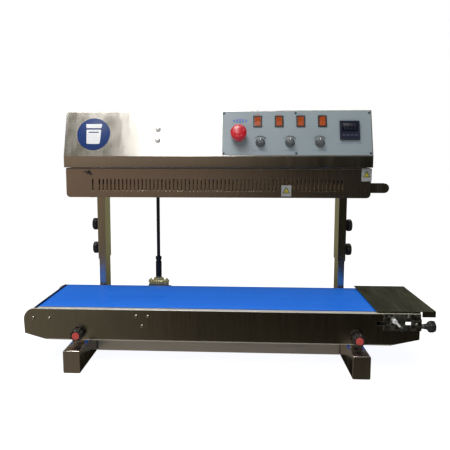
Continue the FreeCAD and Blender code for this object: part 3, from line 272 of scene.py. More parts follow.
finishes["galvanised"] = crystal_zinc("zinc_crystals")
finishes["zinc_yellow"] = plated("zinc_chromate", (0.88, 0.86, 0.56), (0.72, 0.66, 0.32), 0.24,
                                 metal=0.6)
finishes["block_brass"] = plated("brass_block", (0.95, 0.86, 0.50), (0.80, 0.66, 0.30), 0.28,
                                 metal=0.35)
finishes["chrome_plate"] = plated("chrome_plate", (0.92, 0.92, 0.92), (0.84, 0.84, 0.85), 0.18,
                                  metal=0.5)
finishes["screw_steel"] = plated("screw_steel", (0.58, 0.56, 0.52), (0.40, 0.38, 0.35), 0.28)
finishes["roller_aluminium"] = brushed_steel("roller_turned", (0.74, 0.75, 0.76),
                                             (0.62, 0.63, 0.65), 0.3, (300.0, 12.0, 300.0))
finishes["motor_paint"] = plated("motor_housing", (0.34, 0.35, 0.36), (0.24, 0.25, 0.26), 0.45)
print("metals:", len(finishes))

# %% [markdown]
# ## Plastics, rubber and paint
#
# Moulded plastic is never quite smooth. The mould leaves a fine texture, the gloss wanders a
# little, and corners rub lighter. One recipe covers them all with different colours and gloss.
# Lacquered lamps and buttons get a clear coat on top.


# %% Moulded finishes
def moulded(name, tone, rough, texture=900.0, depth=0.00008, coat=0.0, lift=0.25, vary=0.15,
            ior=1.5):
    """Moulded plastic, rubber or paint: a fine texture, slow changes and lighter corners."""
    material, tree = start(name)
    pebble = noise(tree, (1.0, 1.0, 1.0), texture, detail=2.0)
    cloud = noise(tree, (1.0, 1.0, 1.0), 45.0, detail=3.0)
    darker = colour(*[value * (1 - vary) for value in tone])
    base = mix(tree, ramp(tree, cloud, 0.3, 0.7), darker, colour(*tone))
    worn, rounded = edge_worn(tree, 0.0007)
    rubbed = colour(*[value + (0.5 - value) * lift * 0.5 for value in tone])
    close(tree, mix(tree, maths(tree, "MULTIPLY", worn, lift), base, rubbed),
          ramp(tree, cloud, 0.2, 0.8, rough - 0.06, rough + 0.08), height=pebble, depth=depth,
          strength=0.4, normal=rounded, coat=coat, coat_rough=0.12, ior=ior)
    return material


finishes["black_plastic"] = moulded("plastic_black", (0.014, 0.014, 0.014), 0.38)
finishes["dial_grey"] = moulded("plastic_dial", (0.075, 0.085, 0.088), 0.34)
finishes["button_red"] = moulded("plastic_red", (0.46, 0.010, 0.022), 0.24, coat=0.5, lift=0.1)
finishes["rocker_orange"] = moulded("plastic_orange", (0.34, 0.060, 0.010), 0.26, coat=0.35)
finishes["wheel_rubber"] = moulded("rubber_wheel", (0.035, 0.034, 0.033), 0.7, texture=500.0)
finishes["black_oxide"] = moulded("steel_blackened", (0.012, 0.012, 0.012), 0.3, texture=500.0)
finishes["casting_grey"] = moulded("paint_casting", (0.16, 0.17, 0.17), 0.45, texture=260.0,
                                   depth=0.0002)
finishes["band_ptfe"] = moulded("band_woven", (0.16, 0.095, 0.045), 0.5, texture=1400.0)
print("finishes so far:", len(finishes))

# %% [markdown]
# ## The blue belt
#
# The belt's face is an even, saturated blue with a soft gloss. Belts of this kind often have a
# woven core under a plastic face, so this one gets a very fine check, made of two crossed waves,
# and faint rubbed lanes along its length.


# %% Belt finish
def belt_face(name):
    """Blue coating: crossed fine waves for the weave, long soft lanes for the wear."""
    material, tree = start(name)
    where = add(tree, "ShaderNodeTexCoord").outputs["Object"]
    weave = [add(tree, "ShaderNodeTexWave", {"Vector": where, "Scale": 260.0, "Distortion": 0.4},
                 bands_direction=way).outputs["Fac"] for way in ("X", "Y")]
    check = maths(tree, "MULTIPLY", weave[0], weave[1])
    lane = noise(tree, (1.2, 26.0, 1.0), 1.0, detail=3.0)
    scuff = noise(tree, (14.0, 30.0, 14.0), 1.0, detail=5.0, rough=0.65)
    base = mix(tree, ramp(tree, lane, 0.3, 0.72), colour(0.006, 0.158, 0.79),
               colour(0.010, 0.190, 0.87))
    rubbed = mix(tree, ramp(tree, scuff, 0.52, 0.85, 0.0, 0.35), base, colour(0.035, 0.225, 0.90))
    close(tree, rubbed, ramp(tree, scuff, 0.3, 0.8, 0.30, 0.44), height=check, depth=0.00005,
          strength=0.3, ior=1.4)
    return material


finishes["belt_blue"] = belt_face("belt_polyurethane")

# %% [markdown]
# ## The printed control panel
#
# The panel is a metal plate under a printed film. The film is a cool blue-grey with a satin skin,
# so it glows softly where the light falls on it. Its cut edge stays dark.


# %% Panel film
def panel_film(name):
    """Satin film: an even blue-grey, a pebbled skin and a few slow clouds."""
    material, tree = start(name)
    pebble = noise(tree, (1.0, 1.0, 1.0), 1300.0, detail=2.0)
    cloud = noise(tree, (1.0, 1.0, 1.0), 9.0, detail=3.0)
    base = mix(tree, ramp(tree, cloud, 0.3, 0.75), colour(0.190, 0.232, 0.255),
               colour(0.216, 0.262, 0.284))
    worn, rounded = edge_worn(tree, 0.0008)
    close(tree, mix(tree, worn, base, colour(0.12, 0.14, 0.16)), 0.36, height=pebble,
          depth=0.00003, strength=0.3, normal=rounded, coat=0.25, coat_rough=0.22)
    return material


finishes["panel_film"] = panel_film("film_printed")

# %% [markdown]
# ## Dressing the CAD pieces
#
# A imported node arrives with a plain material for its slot. Its shape is right, so only the
# material changes: each node takes the finish named by its slot in the record. A few nodes get a
# closer match of their own further down.

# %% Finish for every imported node
slot_of = {entry["node"]: entry["material_slot"] for entry in frame["record"]["subparts"]}
for node_name, item in frame["nodes"].items():
    item.data.materials.clear()
    item.data.materials.append(finishes[slot_of[node_name]])
print("dressed nodes:", len(slot_of))


def dress(material, *nodes):
    """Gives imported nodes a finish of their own."""
    for name in nodes:
        frame["nodes"][name].data.materials.clear()
        frame["nodes"][name].data.materials.append(material)


# %% [markdown]
# ## Steel parts that differ
#
# These parts are probably one grade of steel, but each reads lighter or darker in place, so each has its
# own tone, which is painted light and shade: a paler tube between the feet and nose at the belt's end, a
# darker tray. Two finishes also change with height on the part. That is painted light and shade, not a
# change of material: the front plate's folds are pale where they catch light, and the guard's top edge is
# dark where the cover's lip shades it.

# %% Finishes of their own
FOLD_LOW, FOLD_HIGH, BEND_HIGH, BEND_LOW = 0.1338, 0.1352, 0.0625, 0.0608
SHADE_LOW, SHADE_HIGH = 0.4648, 0.4660


def folded_plate(name):
    """Dark brushed steel with painted highlights: pale at the top fold and partly pale at the bottom
    bend.
    """
    material, tree = start(name)
    streak = noise(tree, UPRIGHT, 1.0, detail=3.0)
    cloud = noise(tree, (1.0, 1.0, 1.0), 6.0, detail=4.0)
    rub = noise(tree, (3.0, 30.0, 30.0), 1.0, detail=3.0)
    face = mix(tree, ramp(tree, streak, 0.25, 0.75), colour(0.44, 0.41, 0.34),
               colour(0.50, 0.47, 0.39))
    face = mix(tree, ramp(tree, cloud, 0.4, 0.75, 0.0, 0.25), face, colour(0.24, 0.22, 0.17))
    pale = mix(tree, ramp(tree, rub, 0.4, 0.7), colour(0.95, 0.93, 0.86), colour(0.80, 0.76, 0.62))
    where = add(tree, "ShaderNodeTexCoord").outputs["Object"]
    height = add(tree, "ShaderNodeSeparateXYZ", {0: where}).outputs[2]
    bend = ramp(tree, height, BEND_HIGH, BEND_LOW, 0.0, 0.55)
    edge = maths(tree, "ADD", ramp(tree, height, FOLD_LOW, FOLD_HIGH), bend)
    rounded = edge_worn(tree)[1]
    close(tree, mix(tree, edge, face, pale), ramp(tree, streak, 0.2, 0.8, 0.17, 0.26),
          metal=ramp(tree, edge, 0.0, 1.0, 1.0, 0.35), height=streak, depth=0.00004,
          strength=0.12, normal=rounded)
    return material


dress(folded_plate("steel_front_plate"), "conveyor_front_plate")
# One steel in three tones: the tube is painted paler and the nose painted bright, as painted light, and
# the tray is painted darker, as painted shade.
dress(brushed_steel("steel_tube", (0.72, 0.67, 0.56), (0.62, 0.57, 0.47), 0.30, ALONG, metal=0.84),
      "cross_tube")
dress(brushed_steel("steel_nose", (0.82, 0.81, 0.72), (0.70, 0.69, 0.60), 0.22, ACROSS, metal=0.6),
      "conveyor_nose")
dress(brushed_steel("steel_tray", (0.36, 0.35, 0.26), (0.28, 0.27, 0.20), 0.24,
                    (60.0, 8.0, 60.0), clouds=0.5, bump=0.02), "end_tray")


def gap_plate(name):
    """Brushed guard steel with a dark top edge: painted shade for the gap below the lip."""
    material, tree = start(name)
    streak = noise(tree, UPRIGHT, 1.0, detail=3.0)
    cloud = noise(tree, (1.0, 1.0, 1.0), 6.0, detail=4.0)
    face = mix(tree, ramp(tree, streak, 0.25, 0.75), colour(0.52, 0.455, 0.405),
               colour(0.58, 0.51, 0.455))
    face = mix(tree, ramp(tree, cloud, 0.4, 0.8, 0.0, 0.15), face, colour(0.28, 0.24, 0.20))
    where = add(tree, "ShaderNodeTexCoord").outputs["Object"]
    height = add(tree, "ShaderNodeSeparateXYZ", {0: where}).outputs[2]
    shade = ramp(tree, height, SHADE_LOW, SHADE_HIGH)
    rounded = edge_worn(tree)[1]
    close(tree, mix(tree, shade, face, colour(0.012, 0.011, 0.010)),
          ramp(tree, streak, 0.2, 0.8, 0.20, 0.29), metal=ramp(tree, shade, 0.0, 1.0, 1.0, 0.0),
          height=streak, depth=0.00004, strength=0.12, normal=rounded)
    return material


dress(gap_plate("steel_slotted"), "slotted_guard")
dress(moulded("coupling_black", (0.008, 0.008, 0.008), 0.5, texture=500.0), "shaft_coupling",
      "drive_rod")

# %% [markdown]
# ## Surfaces from arrays
#
# Every new piece below is a table of points worked out with numpy. A loft is a stack of rings
# with the same number of points: neighbours in a ring and in the stack make the faces. Rings
# that close on themselves, with the first and last ring capped, give a closed solid.


# %% Helpers for lofted pieces
def skin(name, shells, materials, body, slot, smooth=40.0):
    """A piece from shells: each is (points, faces, material index). Normals point outwards."""
    points, faces, paints, first = [], [], [], 0
    for shell_points, shell_faces, paint in shells:
        points += shell_points.reshape(-1, 3).tolist()
        faces += [[index + first for index in face] for face in shell_faces]
        paints += [paint] * len(shell_faces)
        first = len(points)
    mesh = bpy.data.meshes.new(name)
    mesh.from_pydata(points, [], faces)
    for material in materials:
        mesh.materials.append(material)
    mesh.polygons.foreach_set("material_index", paints)
    work = bmesh.new()
    work.from_mesh(mesh)
    bmesh.ops.recalc_face_normals(work, faces=work.faces)
    work.to_mesh(mesh)
    work.free()
    mesh.shade_smooth()
    mesh.set_sharp_from_angle(angle=math.radians(smooth))
    piece = bpy.data.objects.new(name, mesh)
    bpy.context.scene.collection.objects.link(piece)
    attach(piece, body)
    return piece


def loft(rings, paint=0, ends_meet=False):
    """A shell from rings of points, shape (rings, points, 3); the two end rings are capped."""
    rings = np.asarray(rings, float)
    count, around = rings.shape[:2]
    steps = count if ends_meet else count - 1
    row, column = np.meshgrid(np.arange(steps), np.arange(around), indexing="ij")
    next_row, next_column = (row + 1) % count, (column + 1) % around
    quads = np.stack([row * around + column, row * around + next_column,
                      next_row * around + next_column, next_row * around + column], -1)
    faces = quads.reshape(-1, 4).tolist()
    if not ends_meet:
        faces += [list(range(around))[::-1], list(range((count - 1) * around, count * around))]
    return rings, faces, paint


def facing(direction, centre, up=(0.0, 0.0, 1.0)):
    """Three axes and a centre: a place where +Z of a drawing points in the direction."""
    out = Vector(direction).normalized()
    side = Vector(up).cross(out)
    side = Vector((1, 0, 0)) if side.length < 1e-6 else side.normalized()
    return np.array([side, out.cross(side), out]), np.array(centre, float)


def put(points, place):
    """Carries drawn points to their place: each coordinate times its axis, plus the centre."""
    axes, centre = place
    return np.asarray(points, float) @ axes + centre


def spun(profile, place, sides=48, lobes=0, bite=None, power=1.0, paint=0):
    """A turned solid from (radius, height) stations in millimetres.

    With lobes the radius becomes radius x (1 - bite x (half a wave between 0 and 1)^power),
    so a knob gets finger grooves; bite has one share per station.
    """
    profile = np.asarray(profile, float) * MM
    turn = np.linspace(0.0, math.tau, sides, endpoint=False)
    wave = (0.5 + 0.5 * np.cos(lobes * turn)) ** power if lobes else np.zeros(sides)
    share = np.zeros(len(profile)) if bite is None else np.asarray(bite, float)
    radius = profile[:, :1] * (1.0 - share[:, None] * wave[None, :])
    radius = np.maximum(radius, 0.00005)
    height = np.repeat(profile[:, 1:], sides, axis=1)
    rings = np.stack([radius * np.cos(turn), radius * np.sin(turn), height], -1)
    return loft(put(rings, place), paint)


def rounded(corners, radii, steps=6):
    """A closed outline with round corners: each corner becomes an arc that touches both sides."""
    corner = np.asarray(corners, float)
    radius = np.broadcast_to(np.asarray(radii, float), len(corner))[:, None]
    back = np.roll(corner, 1, 0) - corner
    ahead = np.roll(corner, -1, 0) - corner
    back /= np.linalg.norm(back, axis=1, keepdims=True)
    ahead /= np.linalg.norm(ahead, axis=1, keepdims=True)
    half = np.arccos(np.clip((back * ahead).sum(1, keepdims=True), -1, 1)) / 2
    middle = (back + ahead) / np.linalg.norm(back + ahead, axis=1, keepdims=True)
    centre = corner + middle * radius / np.sin(half)
    first = corner + back * radius / np.tan(half) - centre
    last = corner + ahead * radius / np.tan(half) - centre
    bend = (math.pi - 2 * half)[:, None]
    share = np.linspace(0.0, 1.0, steps)[None, :, None]
    arc = (np.sin((1 - share) * bend) * first[:, None] + np.sin(share * bend) * last[:, None])
    return (centre[:, None] + arc / np.sin(bend)).reshape(-1, 2)


def slab(outline, place, thick, edge=0.0, paint=0):
    """A plate from a flat outline in millimetres, with its top edge eased inward by edge."""
    outline = np.asarray(outline, float)
    centre = (outline.min(0) + outline.max(0)) / 2
    half = (outline.max(0) - outline.min(0)) / 2
    small = centre + (outline - centre) * (1 - edge / half)
    layers = [(outline, 0.0), (outline, thick - edge), (small, thick)]
    if edge == 0.0:
        layers = [(outline, 0.0), (outline, thick)]
    rings = [np.column_stack([flat, np.full(len(flat), level)]) for flat, level in layers]
    return loft(put(np.array(rings) * MM, place), paint)


def box_outline(width, height, radius=0.5, at=(0.0, 0.0)):
    """A rectangle about a centre, with its corners rounded."""
    x, y = width / 2, height / 2
    corners = np.array([(-x, -y), (x, -y), (x, y), (-x, y)]) + np.array(at)
    return rounded(corners, radius, 4)


print("loft helpers ready")

# %% [markdown]
# ## The slanted face
#
# The head's front leans back by 17.3 degrees. Everything on it is easier to draw flat: across
# the head, up the slope and out of it. One function lays such a drawing on the slope.

# %% The slope's own place
LEAN = math.radians(17.3)
FOLD_Y, FOLD_Z = -40.0, 497.0
SLOPE_LENGTH = 120.7
HEAD_LEFT, HEAD_RIGHT, HEAD_BACK, LIP_BOTTOM = -414.0, 358.0, 150.0, 469.0
OUT = np.array([0.0, -math.cos(LEAN), math.sin(LEAN)])
UP = np.array([0.0, math.sin(LEAN), math.cos(LEAN)])


def on_slope(across, up, out=0.0):
    """A place on the slope; a drawing's X runs along the head, Y up the slope, Z outwards."""
    centre = np.array([across, FOLD_Y, FOLD_Z]) + up * UP + out * OUT
    return np.array([[1.0, 0.0, 0.0], UP, OUT]), centre * MM


# %% [markdown]
# ## The pressed cover
#
# The cover is one sheet bent over a press brake, so its folds are small arcs and not sharp
# corners. Those arcs catch the thin bright lines that tell the eye it is sheet metal. The end
# outline is drawn once with arcs, doubled inward by the sheet's thickness and carried along the
# head. Two end plates close it.


# %% Cover
def cover_outline(skin_thick, bend):
    """The cover's end view as (Y, Z): lip, slope, roof and back, moved in by a thickness."""
    top_y = FOLD_Y + SLOPE_LENGTH * math.sin(LEAN)
    top_z = FOLD_Z + SLOPE_LENGTH * math.cos(LEAN)
    front = FOLD_Y + skin_thick
    roof = top_z - skin_thick
    lean_in = skin_thick * (1 / math.cos(LEAN) - 1)
    shoulder = top_y + skin_thick / math.cos(LEAN) - skin_thick * math.tan(LEAN)
    back = HEAD_BACK - skin_thick
    corners = [(front, LIP_BOTTOM), (front, FOLD_Z - lean_in), (shoulder, roof), (back, roof),
               (back, LIP_BOTTOM)]
    return rounded(corners, [0.05, bend, bend, bend, 0.05], 8)


outer_path, inner_path = cover_outline(0.0, 3.0), cover_outline(1.2, 1.8)
sheet_outline = np.vstack([outer_path, inner_path[::-1]])
ends = np.array([HEAD_LEFT, HEAD_RIGHT])
cover_rings = np.stack([np.column_stack([np.full(len(sheet_outline), x), sheet_outline])
                        for x in ends]) * MM
shells = [loft(cover_rings)]
middle = (outer_path.min(0) + outer_path.max(0)) / 2
eased = middle + (outer_path - middle) * np.array([0.993, 0.991])
for x, inward in ((HEAD_LEFT, 1.0), (HEAD_RIGHT, -1.0)):
    rings = [np.column_stack([np.full(len(flat), x + step), flat]) for flat, step in
             ((eased, 0.0), (inner_path, 0.02 * inward), (inner_path, 1.6 * inward))]
    shells.append(loft(np.array(rings) * MM))
cover = skin("cover_shell", shells, [finishes["stainless_bright"]], "head", "stainless_bright", 30)
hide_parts("top_cover")
print("cover points:", len(cover.data.vertices))

# %% [markdown]
# ## The feet
#
# Each foot is a steel tube, 40 mm wide and 53 mm tall, with rounded edges and closed ends. A
# rounded outline carried from front to back makes it. The lugs that the conveyor hangs on are
# flat plates that stand on top.

# %% Feet
foot_shells = []
for centre_x in (-353.0, 305.0):
    tube = box_outline(40.0, 53.0, 3.0, (0.0, 26.5))
    plate = box_outline(38.6, 51.6, 2.6, (0.0, 26.5))
    stations = [(plate, -210.0), (tube, -209.2), (tube, 209.2), (plate, 210.0)]
    rings = [np.column_stack([flat[:, 0] + centre_x, np.full(len(flat), y), flat[:, 1]])
             for flat, y in stations]
    foot_shells.append(loft(np.array(rings) * MM))
    for y in (-152.5, 74.5):
        lug = rounded([(-15, 52.5), (15, 52.5), (15, 95), (-15, 95)], [0.3, 0.3, 6, 6], 6)
        rings = [np.column_stack([lug[:, 0] + centre_x, np.full(len(lug), level), lug[:, 1]])
                 for level in (y, y + 4.0)]
        foot_shells.append(loft(np.array(rings) * MM))
feet = skin("feet_tubes", foot_shells, [finishes["stainless_dark"]], "base", "stainless_dark", 30)
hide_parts("feet")
print("feet stand on z =", round(min(v.co.z for v in feet.data.vertices), 4))

# %% [markdown]
# ## The belt
#
# The belt is an endless strip over two rollers. Walking along it, the strip's own outline is a
# flat rectangle with soft edges, and the path is two straight runs and two half turns. The edge
# of a used belt is never dead straight, so the sides wander by a few tenths of a millimetre.

# %% Belt
DRIVE_X, IDLER_X, ROLLER_Z, ROLLER_R, BELT_THICK = -442.0, 385.0, 112.0, 24.0, 2.0
span = IDLER_X - DRIVE_X
run = np.linspace(0.0, 1.0, 60, endpoint=False)
arc = np.linspace(0.0, math.pi, 20, endpoint=False)
still, level = np.zeros(len(run)), np.ones(len(run))
path_x = np.concatenate([DRIVE_X + span * run, np.full(len(arc), IDLER_X),
                         IDLER_X - span * run, np.full(len(arc), DRIVE_X)])
side_x = np.concatenate([still, np.sin(arc), still, -np.sin(arc)])
side_z = np.concatenate([level, np.cos(arc), -level, -np.cos(arc)])
strip = rounded([(-140, 0), (72, 0), (72, BELT_THICK), (-140, BELT_THICK)], 0.8, 5)
travel = np.linspace(0.0, math.tau, len(path_x), endpoint=False)[:, None]
wander = 0.25 * np.sin(5 * travel + 0.7) + 0.2 * np.sin(11 * travel)
reach = ROLLER_R + strip[None, :, 1]
belt_rings = np.stack([path_x[:, None] + side_x[:, None] * reach,
                       strip[None, :, 0] * 0.998 + wander * np.sign(strip[None, :, 0] + 34),
                       ROLLER_Z + side_z[:, None] * reach], -1) * MM
belt = skin("belt_strip", [loft(belt_rings, ends_meet=True)], [finishes["belt_blue"]], "base",
            "belt_blue", 50)
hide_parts("conveyor_belt")
print("belt length:", round((2 * span + math.tau * (ROLLER_R + 1)) * MM, 3), "m")

# %% [markdown]
# ## Knobs
#
# All the hand knobs are turned shapes with finger grooves. A turned shape is a profile of
# radius and height; a cosine wave round the axis bites into the radius where the grooves are.
# The same function makes the ribbed clamp knobs, the star knob and the dials.

# %% Conveyor clamp knobs
red_cap = moulded("plastic_cap", (0.50, 0.055, 0.045), 0.4, lift=0.1)
for name, x in (("conveyor_knob_left", -352.5), ("conveyor_knob_right", 306.5)):
    place = facing((0, -1, 0), (x * MM, -0.154, 0.0766))
    grip = [(7.0, 0.3), (7.6, 2.0), (9.5, 3.2), (14.4, 5.4), (15.6, 7.0), (15.8, 9.0),
            (15.4, 14.0), (15.0, 19.0), (14.2, 22.0), (12.0, 23.5), (9.2, 24.0)]
    bite = [0, 0, 0, .08, .11, .13, .14, .13, .10, .04, 0]
    cap = [(8.6, 23.2), (8.8, 24.6), (8.2, 25.6), (6.2, 26.0)]
    stud = [(4.0, -14.0), (4.0, 0.6)]
    knob = skin(name + "_grip", [spun(grip, place, 96, 8, bite, 1.6), spun(cap, place, 48, paint=1),
                                 spun(stud, place, 24, paint=2)],
                [finishes["black_plastic"], red_cap, finishes["bearing_steel"]], name,
                "black_plastic")
    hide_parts(name)

# %% Column clamp knobs
made = 0
for side, x, way in (("left", -364.5, -1), ("right", 322.5, 1)):
    for level, z in (("high", 306.0), ("low", 238.0)):
        name = "clamp_knob_%s_%s" % (side, level)
        place = facing((way, 0, 0), ((x + way * 4.4) * MM, 0.114, z * MM))
        grip = [(7.0, 0.0), (8.0, 1.2), (15.5, 3.2), (16.8, 4.6), (17.0, 7.0), (17.0, 12.0),
                (16.4, 14.0), (14.5, 15.8), (11.0, 16.7), (6.0, 17.0)]
        bite = [0, 0, .10, .13, .14, .14, .13, .10, .04, 0]
        stud = [(4.0, -5.8), (4.0, 0.3)]
        knob = skin(name + "_grip", [spun(grip, place, 98, 7, bite, 1.6),
                                     spun(stud, place, 24, paint=1)],
                    [finishes["black_plastic"], finishes["bearing_steel"]], name, "black_plastic")
        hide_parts(name)
        made += 1
print("column clamp knobs made:", made)

# %% Star knob and its screw
place = facing((1, 0, 0), (0.459, -0.146, 0.104))
star = [(6.0, 0.0), (6.4, 5.0), (7.4, 7.4), (12.4, 11.2), (13.8, 13.2), (14.0, 16.0),
        (14.0, 21.0), (13.2, 24.0), (10.5, 25.6), (5.0, 26.0)]
star_bite = [0, 0, 0, .14, .20, .23, .23, .20, .10, 0]
screw_profile = [(3.0, -90.0), (3.0, 0.4)]
collar = [(3.2, -7.7), (5.5, -7.7), (5.5, 0.0), (3.2, 0.0)]
turn = np.linspace(0, math.tau, 32, False)
collar_rings = np.stack([np.stack([radius * np.cos(turn), radius * np.sin(turn),
                                   np.full(len(turn), height)], -1) for radius, height in collar])
tension = skin("tension_star", [spun(star, place, 96, 6, star_bite, 1.4),
                                spun(screw_profile, place, 24, paint=1),
                                loft(put(collar_rings * MM, place), 1, True)],
               [finishes["black_plastic"], finishes["bearing_steel"]], "tension_knob",
               "black_plastic")
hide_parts("tension_knob")

# %% Lock lever
hub_place = facing((0, -1, 0), (0.388, -0.1565, 0.120))
arm_from, arm_to = np.array([388.0, -161.0, 121.0]), np.array([403.0, -169.0, 104.5])
along = arm_to - arm_from
arm_place = facing(tuple(along), arm_from * MM)
arm_length = float(np.linalg.norm(along))
ball_turn = np.linspace(-1.5, 1.5, 19)
ball = [(7.0 * math.cos(turn), 7.0 * math.sin(turn)) for turn in ball_turn]
lever = skin("lever_handle", [
    spun([(4.6, 0.0), (5.4, 0.7), (5.5, 1.5), (5.5, 7.6), (4.8, 9.0), (3.0, 9.5)], hub_place, 48),
    spun([(3.0, 0.0), (2.8, 5.0), (2.5, arm_length - 4.0)], arm_place, 24),
    spun(ball, facing(tuple(along), arm_to * MM), 48, paint=1)],
    [finishes["chrome_plate"], finishes["black_plastic"]], "lock_lever", "chrome_plate")
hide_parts("lock_lever")
print("lever arm:", round(arm_length, 1), "mm")

# %% [markdown]
# ## Dials and the stop button
#
# A dial is a skirt, a knurled grip and a white pointer line. The stop button is a red mushroom
# with a rounded rim: the hand has to find it without looking.
#
# The three dials stand in a row on the slope, the same step apart. Their middles and the film's
# outer face are named once, because the printed marks use them too.

# %% Dials
DIAL_PLACES = [81.5 + 73.3 * number for number in range(3)]
DIAL_UP, FILM_OUT, PRINT_OUT = 34.8, 1.5, 1.52
pointer_white = moulded("print_white", (0.75, 0.75, 0.72), 0.5, lift=0.0)
for number, x in enumerate(DIAL_PLACES):
    name = "dial_knob_%d" % (number + 1)
    place = on_slope(x, DIAL_UP, FILM_OUT)
    grip = [(3.5, -7.5), (3.5, 0.4), (11.4, 0.4), (12.0, 1.0), (12.0, 3.0), (11.2, 4.2), (9.8, 5.0),
            (9.4, 6.0), (9.0, 13.2), (8.3, 14.4), (7.0, 14.9), (3.0, 15.0)]
    bite = [0, 0, 0, 0, 0, 0, 0, .05, .05, .03, 0, 0]
    line = slab(box_outline(1.3, 5.6, 0.3, (0.0, 4.9)), on_slope(x, DIAL_UP, 16.4), 0.35, paint=1)
    dial = skin(name + "_cap", [spun(grip, place, 144, 24, bite), line],
                [finishes["dial_grey"], pointer_white], name, "dial_grey")
    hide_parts(name)

# %% Stop button
place = on_slope(27.5, 53.0, FILM_OUT)
mushroom = [(11.0, -12.0), (11.0, 9.7), (17.6, 9.9), (18.8, 10.6), (19.4, 12.0), (19.8, 16.0),
            (20.0, 24.0), (20.0, 27.6), (19.6, 29.6), (18.4, 31.8), (15.8, 33.8), (11.4, 35.3),
            (6.0, 35.9), (1.0, 36.0)]
button_shells = [spun(mushroom, place, 72)]
lighter_red = moulded("print_red", (0.78, 0.16, 0.14), 0.3, coat=0.4, lift=0.0)
for number in range(3):
    turn = np.linspace(0.0, 1.25, 12) + number * math.tau / 3
    radius = np.array([12.4, 13.9])
    wide = np.stack([np.concatenate([radius[0] * np.cos(turn), radius[1] * np.cos(turn[::-1])]),
                     np.concatenate([radius[0] * np.sin(turn), radius[1] * np.sin(turn[::-1])])], -1)
    drop = 34.75 - (np.linalg.norm(wide, axis=1) - 13.1) * 0.5
    rings = np.stack([np.column_stack([wide, drop + lift]) for lift in (-0.6, 0.25)])
    button_shells.append(loft(put(rings * MM, place), 1))
button = skin("stop_mushroom", button_shells, [finishes["button_red"], lighter_red],
              "estop_button", "button_red")
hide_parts("estop_button")
print("stop button radius:", max(radius for radius, height in mushroom), "mm")

# %% [markdown]
# ## Screws with real sockets
#
# A button-head screw is a low dome with a six-sided socket. The dome is turned; the socket's
# rings are hexagons. A hexagon's radius at an angle is its flat-to-centre distance divided by
# the cosine of the angle to the nearest flat.


# %% Socket screws
def socket_screw(place, head, paint=0, sides=48):
    """A button head of the given radius in millimetres, with a hexagon socket."""
    turn = np.linspace(0.0, math.tau, sides, endpoint=False)
    to_flat = np.abs((turn + math.pi / 6) % (math.pi / 3) - math.pi / 6)
    hexagon = 0.42 / np.cos(to_flat)
    ring = np.ones(sides)
    stations = [(ring, 0.02), (ring, 0.22), (0.93 * ring, 0.42), (0.78 * ring, 0.58),
                (0.60 * ring, 0.66), (hexagon * 1.06, 0.67), (hexagon, 0.62), (hexagon, 0.26)]
    rings = np.stack([np.column_stack([size * np.cos(turn), size * np.sin(turn),
                                       np.full(sides, level)]) for size, level in stations])
    return loft(put(rings * head * MM, place), paint)


front = -0.154
plate_spots = [(-461.5, 112.0), (-422.5, 112.0), (-199.0, 96.0), (-185.14, 120.0),
               (-212.86, 120.0)]
small_spots = [(421.0, 130.0), (409.0, 100.0), (440.0, 112.0)]
screw_shells = [socket_screw(facing((0, -1, 0), (x * MM, front, z * MM)), 4.0)
                for x, z in plate_spots]
screw_shells += [socket_screw(facing((0, -1, 0), (x * MM, front - 0.002, z * MM)), 2.8)
                 for x, z in small_spots]
plate_screws = skin("socket_screws", screw_shells, [finishes["screw_steel"]], "base",
                    "screw_steel")
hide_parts("conveyor_screws")

panel_spots = [(x, up) for x in (-9.5, 170.0, 351.5) for up in (7.0, 112.0)]
fastener_shells = [socket_screw(on_slope(x, up, 1.5), 2.6, paint=1) for x, up in panel_spots]
dome = [(7.2, 0.02), (7.2, 1.2), (7.0, 2.2), (6.5, 3.4), (5.7, 4.6), (4.4, 5.7), (2.7, 6.45),
        (0.8, 6.75)]
fastener_shells += [spun(dome, on_slope(-176.0, up), 64) for up in (42.0, 71.2)]
fasteners = skin("dome_nuts_and_screws", fastener_shells,
                 [finishes["chrome_plate"], finishes["black_oxide"]], "head", "chrome_plate")
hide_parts("cover_fasteners")
print("screws:", len(screw_shells) + len(panel_spots))

# %% [markdown]
# ## The wing screw
#
# One wing screw holds the guard, so it opens without tools. Its hub is turned. Each wing is an
# egg-shaped lobe: rings that swell and shrink along the wing's own axis, flatter than wide.

# %% Wing screw
def lobe(centre, axis, length, wide, thick, paint=0, sides=20):
    """An egg-shaped wing: each ring's size is the sine of its way along, to the power 0.7."""
    along_axis = Vector(axis).normalized()
    flat = Vector((0.0, 1.0, 0.0))
    across = along_axis.cross(flat).normalized()
    step = np.linspace(0.06, 0.98, 14)
    size = np.sin(step * math.pi) ** 0.7
    turn = np.linspace(0.0, math.tau, sides, endpoint=False)
    rings = (np.array(centre) + step[:, None, None] * length * np.array(along_axis)
             + size[:, None, None] * (np.cos(turn)[None, :, None] * wide * np.array(flat)
                                      + np.sin(turn)[None, :, None] * thick * np.array(across)))
    return loft(rings * MM, paint)


wing_place = facing((0, -1, 0), (-0.354, -0.032, 0.457))
wing_shells = [spun([(2.5, -6.0), (2.5, 0.3), (4.6, 0.4), (5.0, 1.2), (4.4, 5.0), (3.6, 7.6),
                     (2.6, 8.6), (0.6, 8.9)], wing_place, 40),
               lobe((-352.5, -37.0, 457.2), (-0.98, 0.0, 0.17), 12.5, 3.6, 2.1),
               lobe((-355.5, -37.0, 456.8), (0.86, 0.0, -0.51), 12.5, 3.6, 2.1)]
wing = skin("wing_screw", wing_shells, [finishes["black_plastic"]], "guard_screw",
            "black_plastic")
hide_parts("guard_screw")
print("wing screw shells:", len(wing_shells))

# %% [markdown]
# ## Print on the panel
#
# The film carries thin printed marks: a swept arc over each dial that swells from quiet to loud,
# and short bars where labels go. Words and marks of any maker are left out. Each mark is a thin
# sheet a tenth of a millimetre above the film.


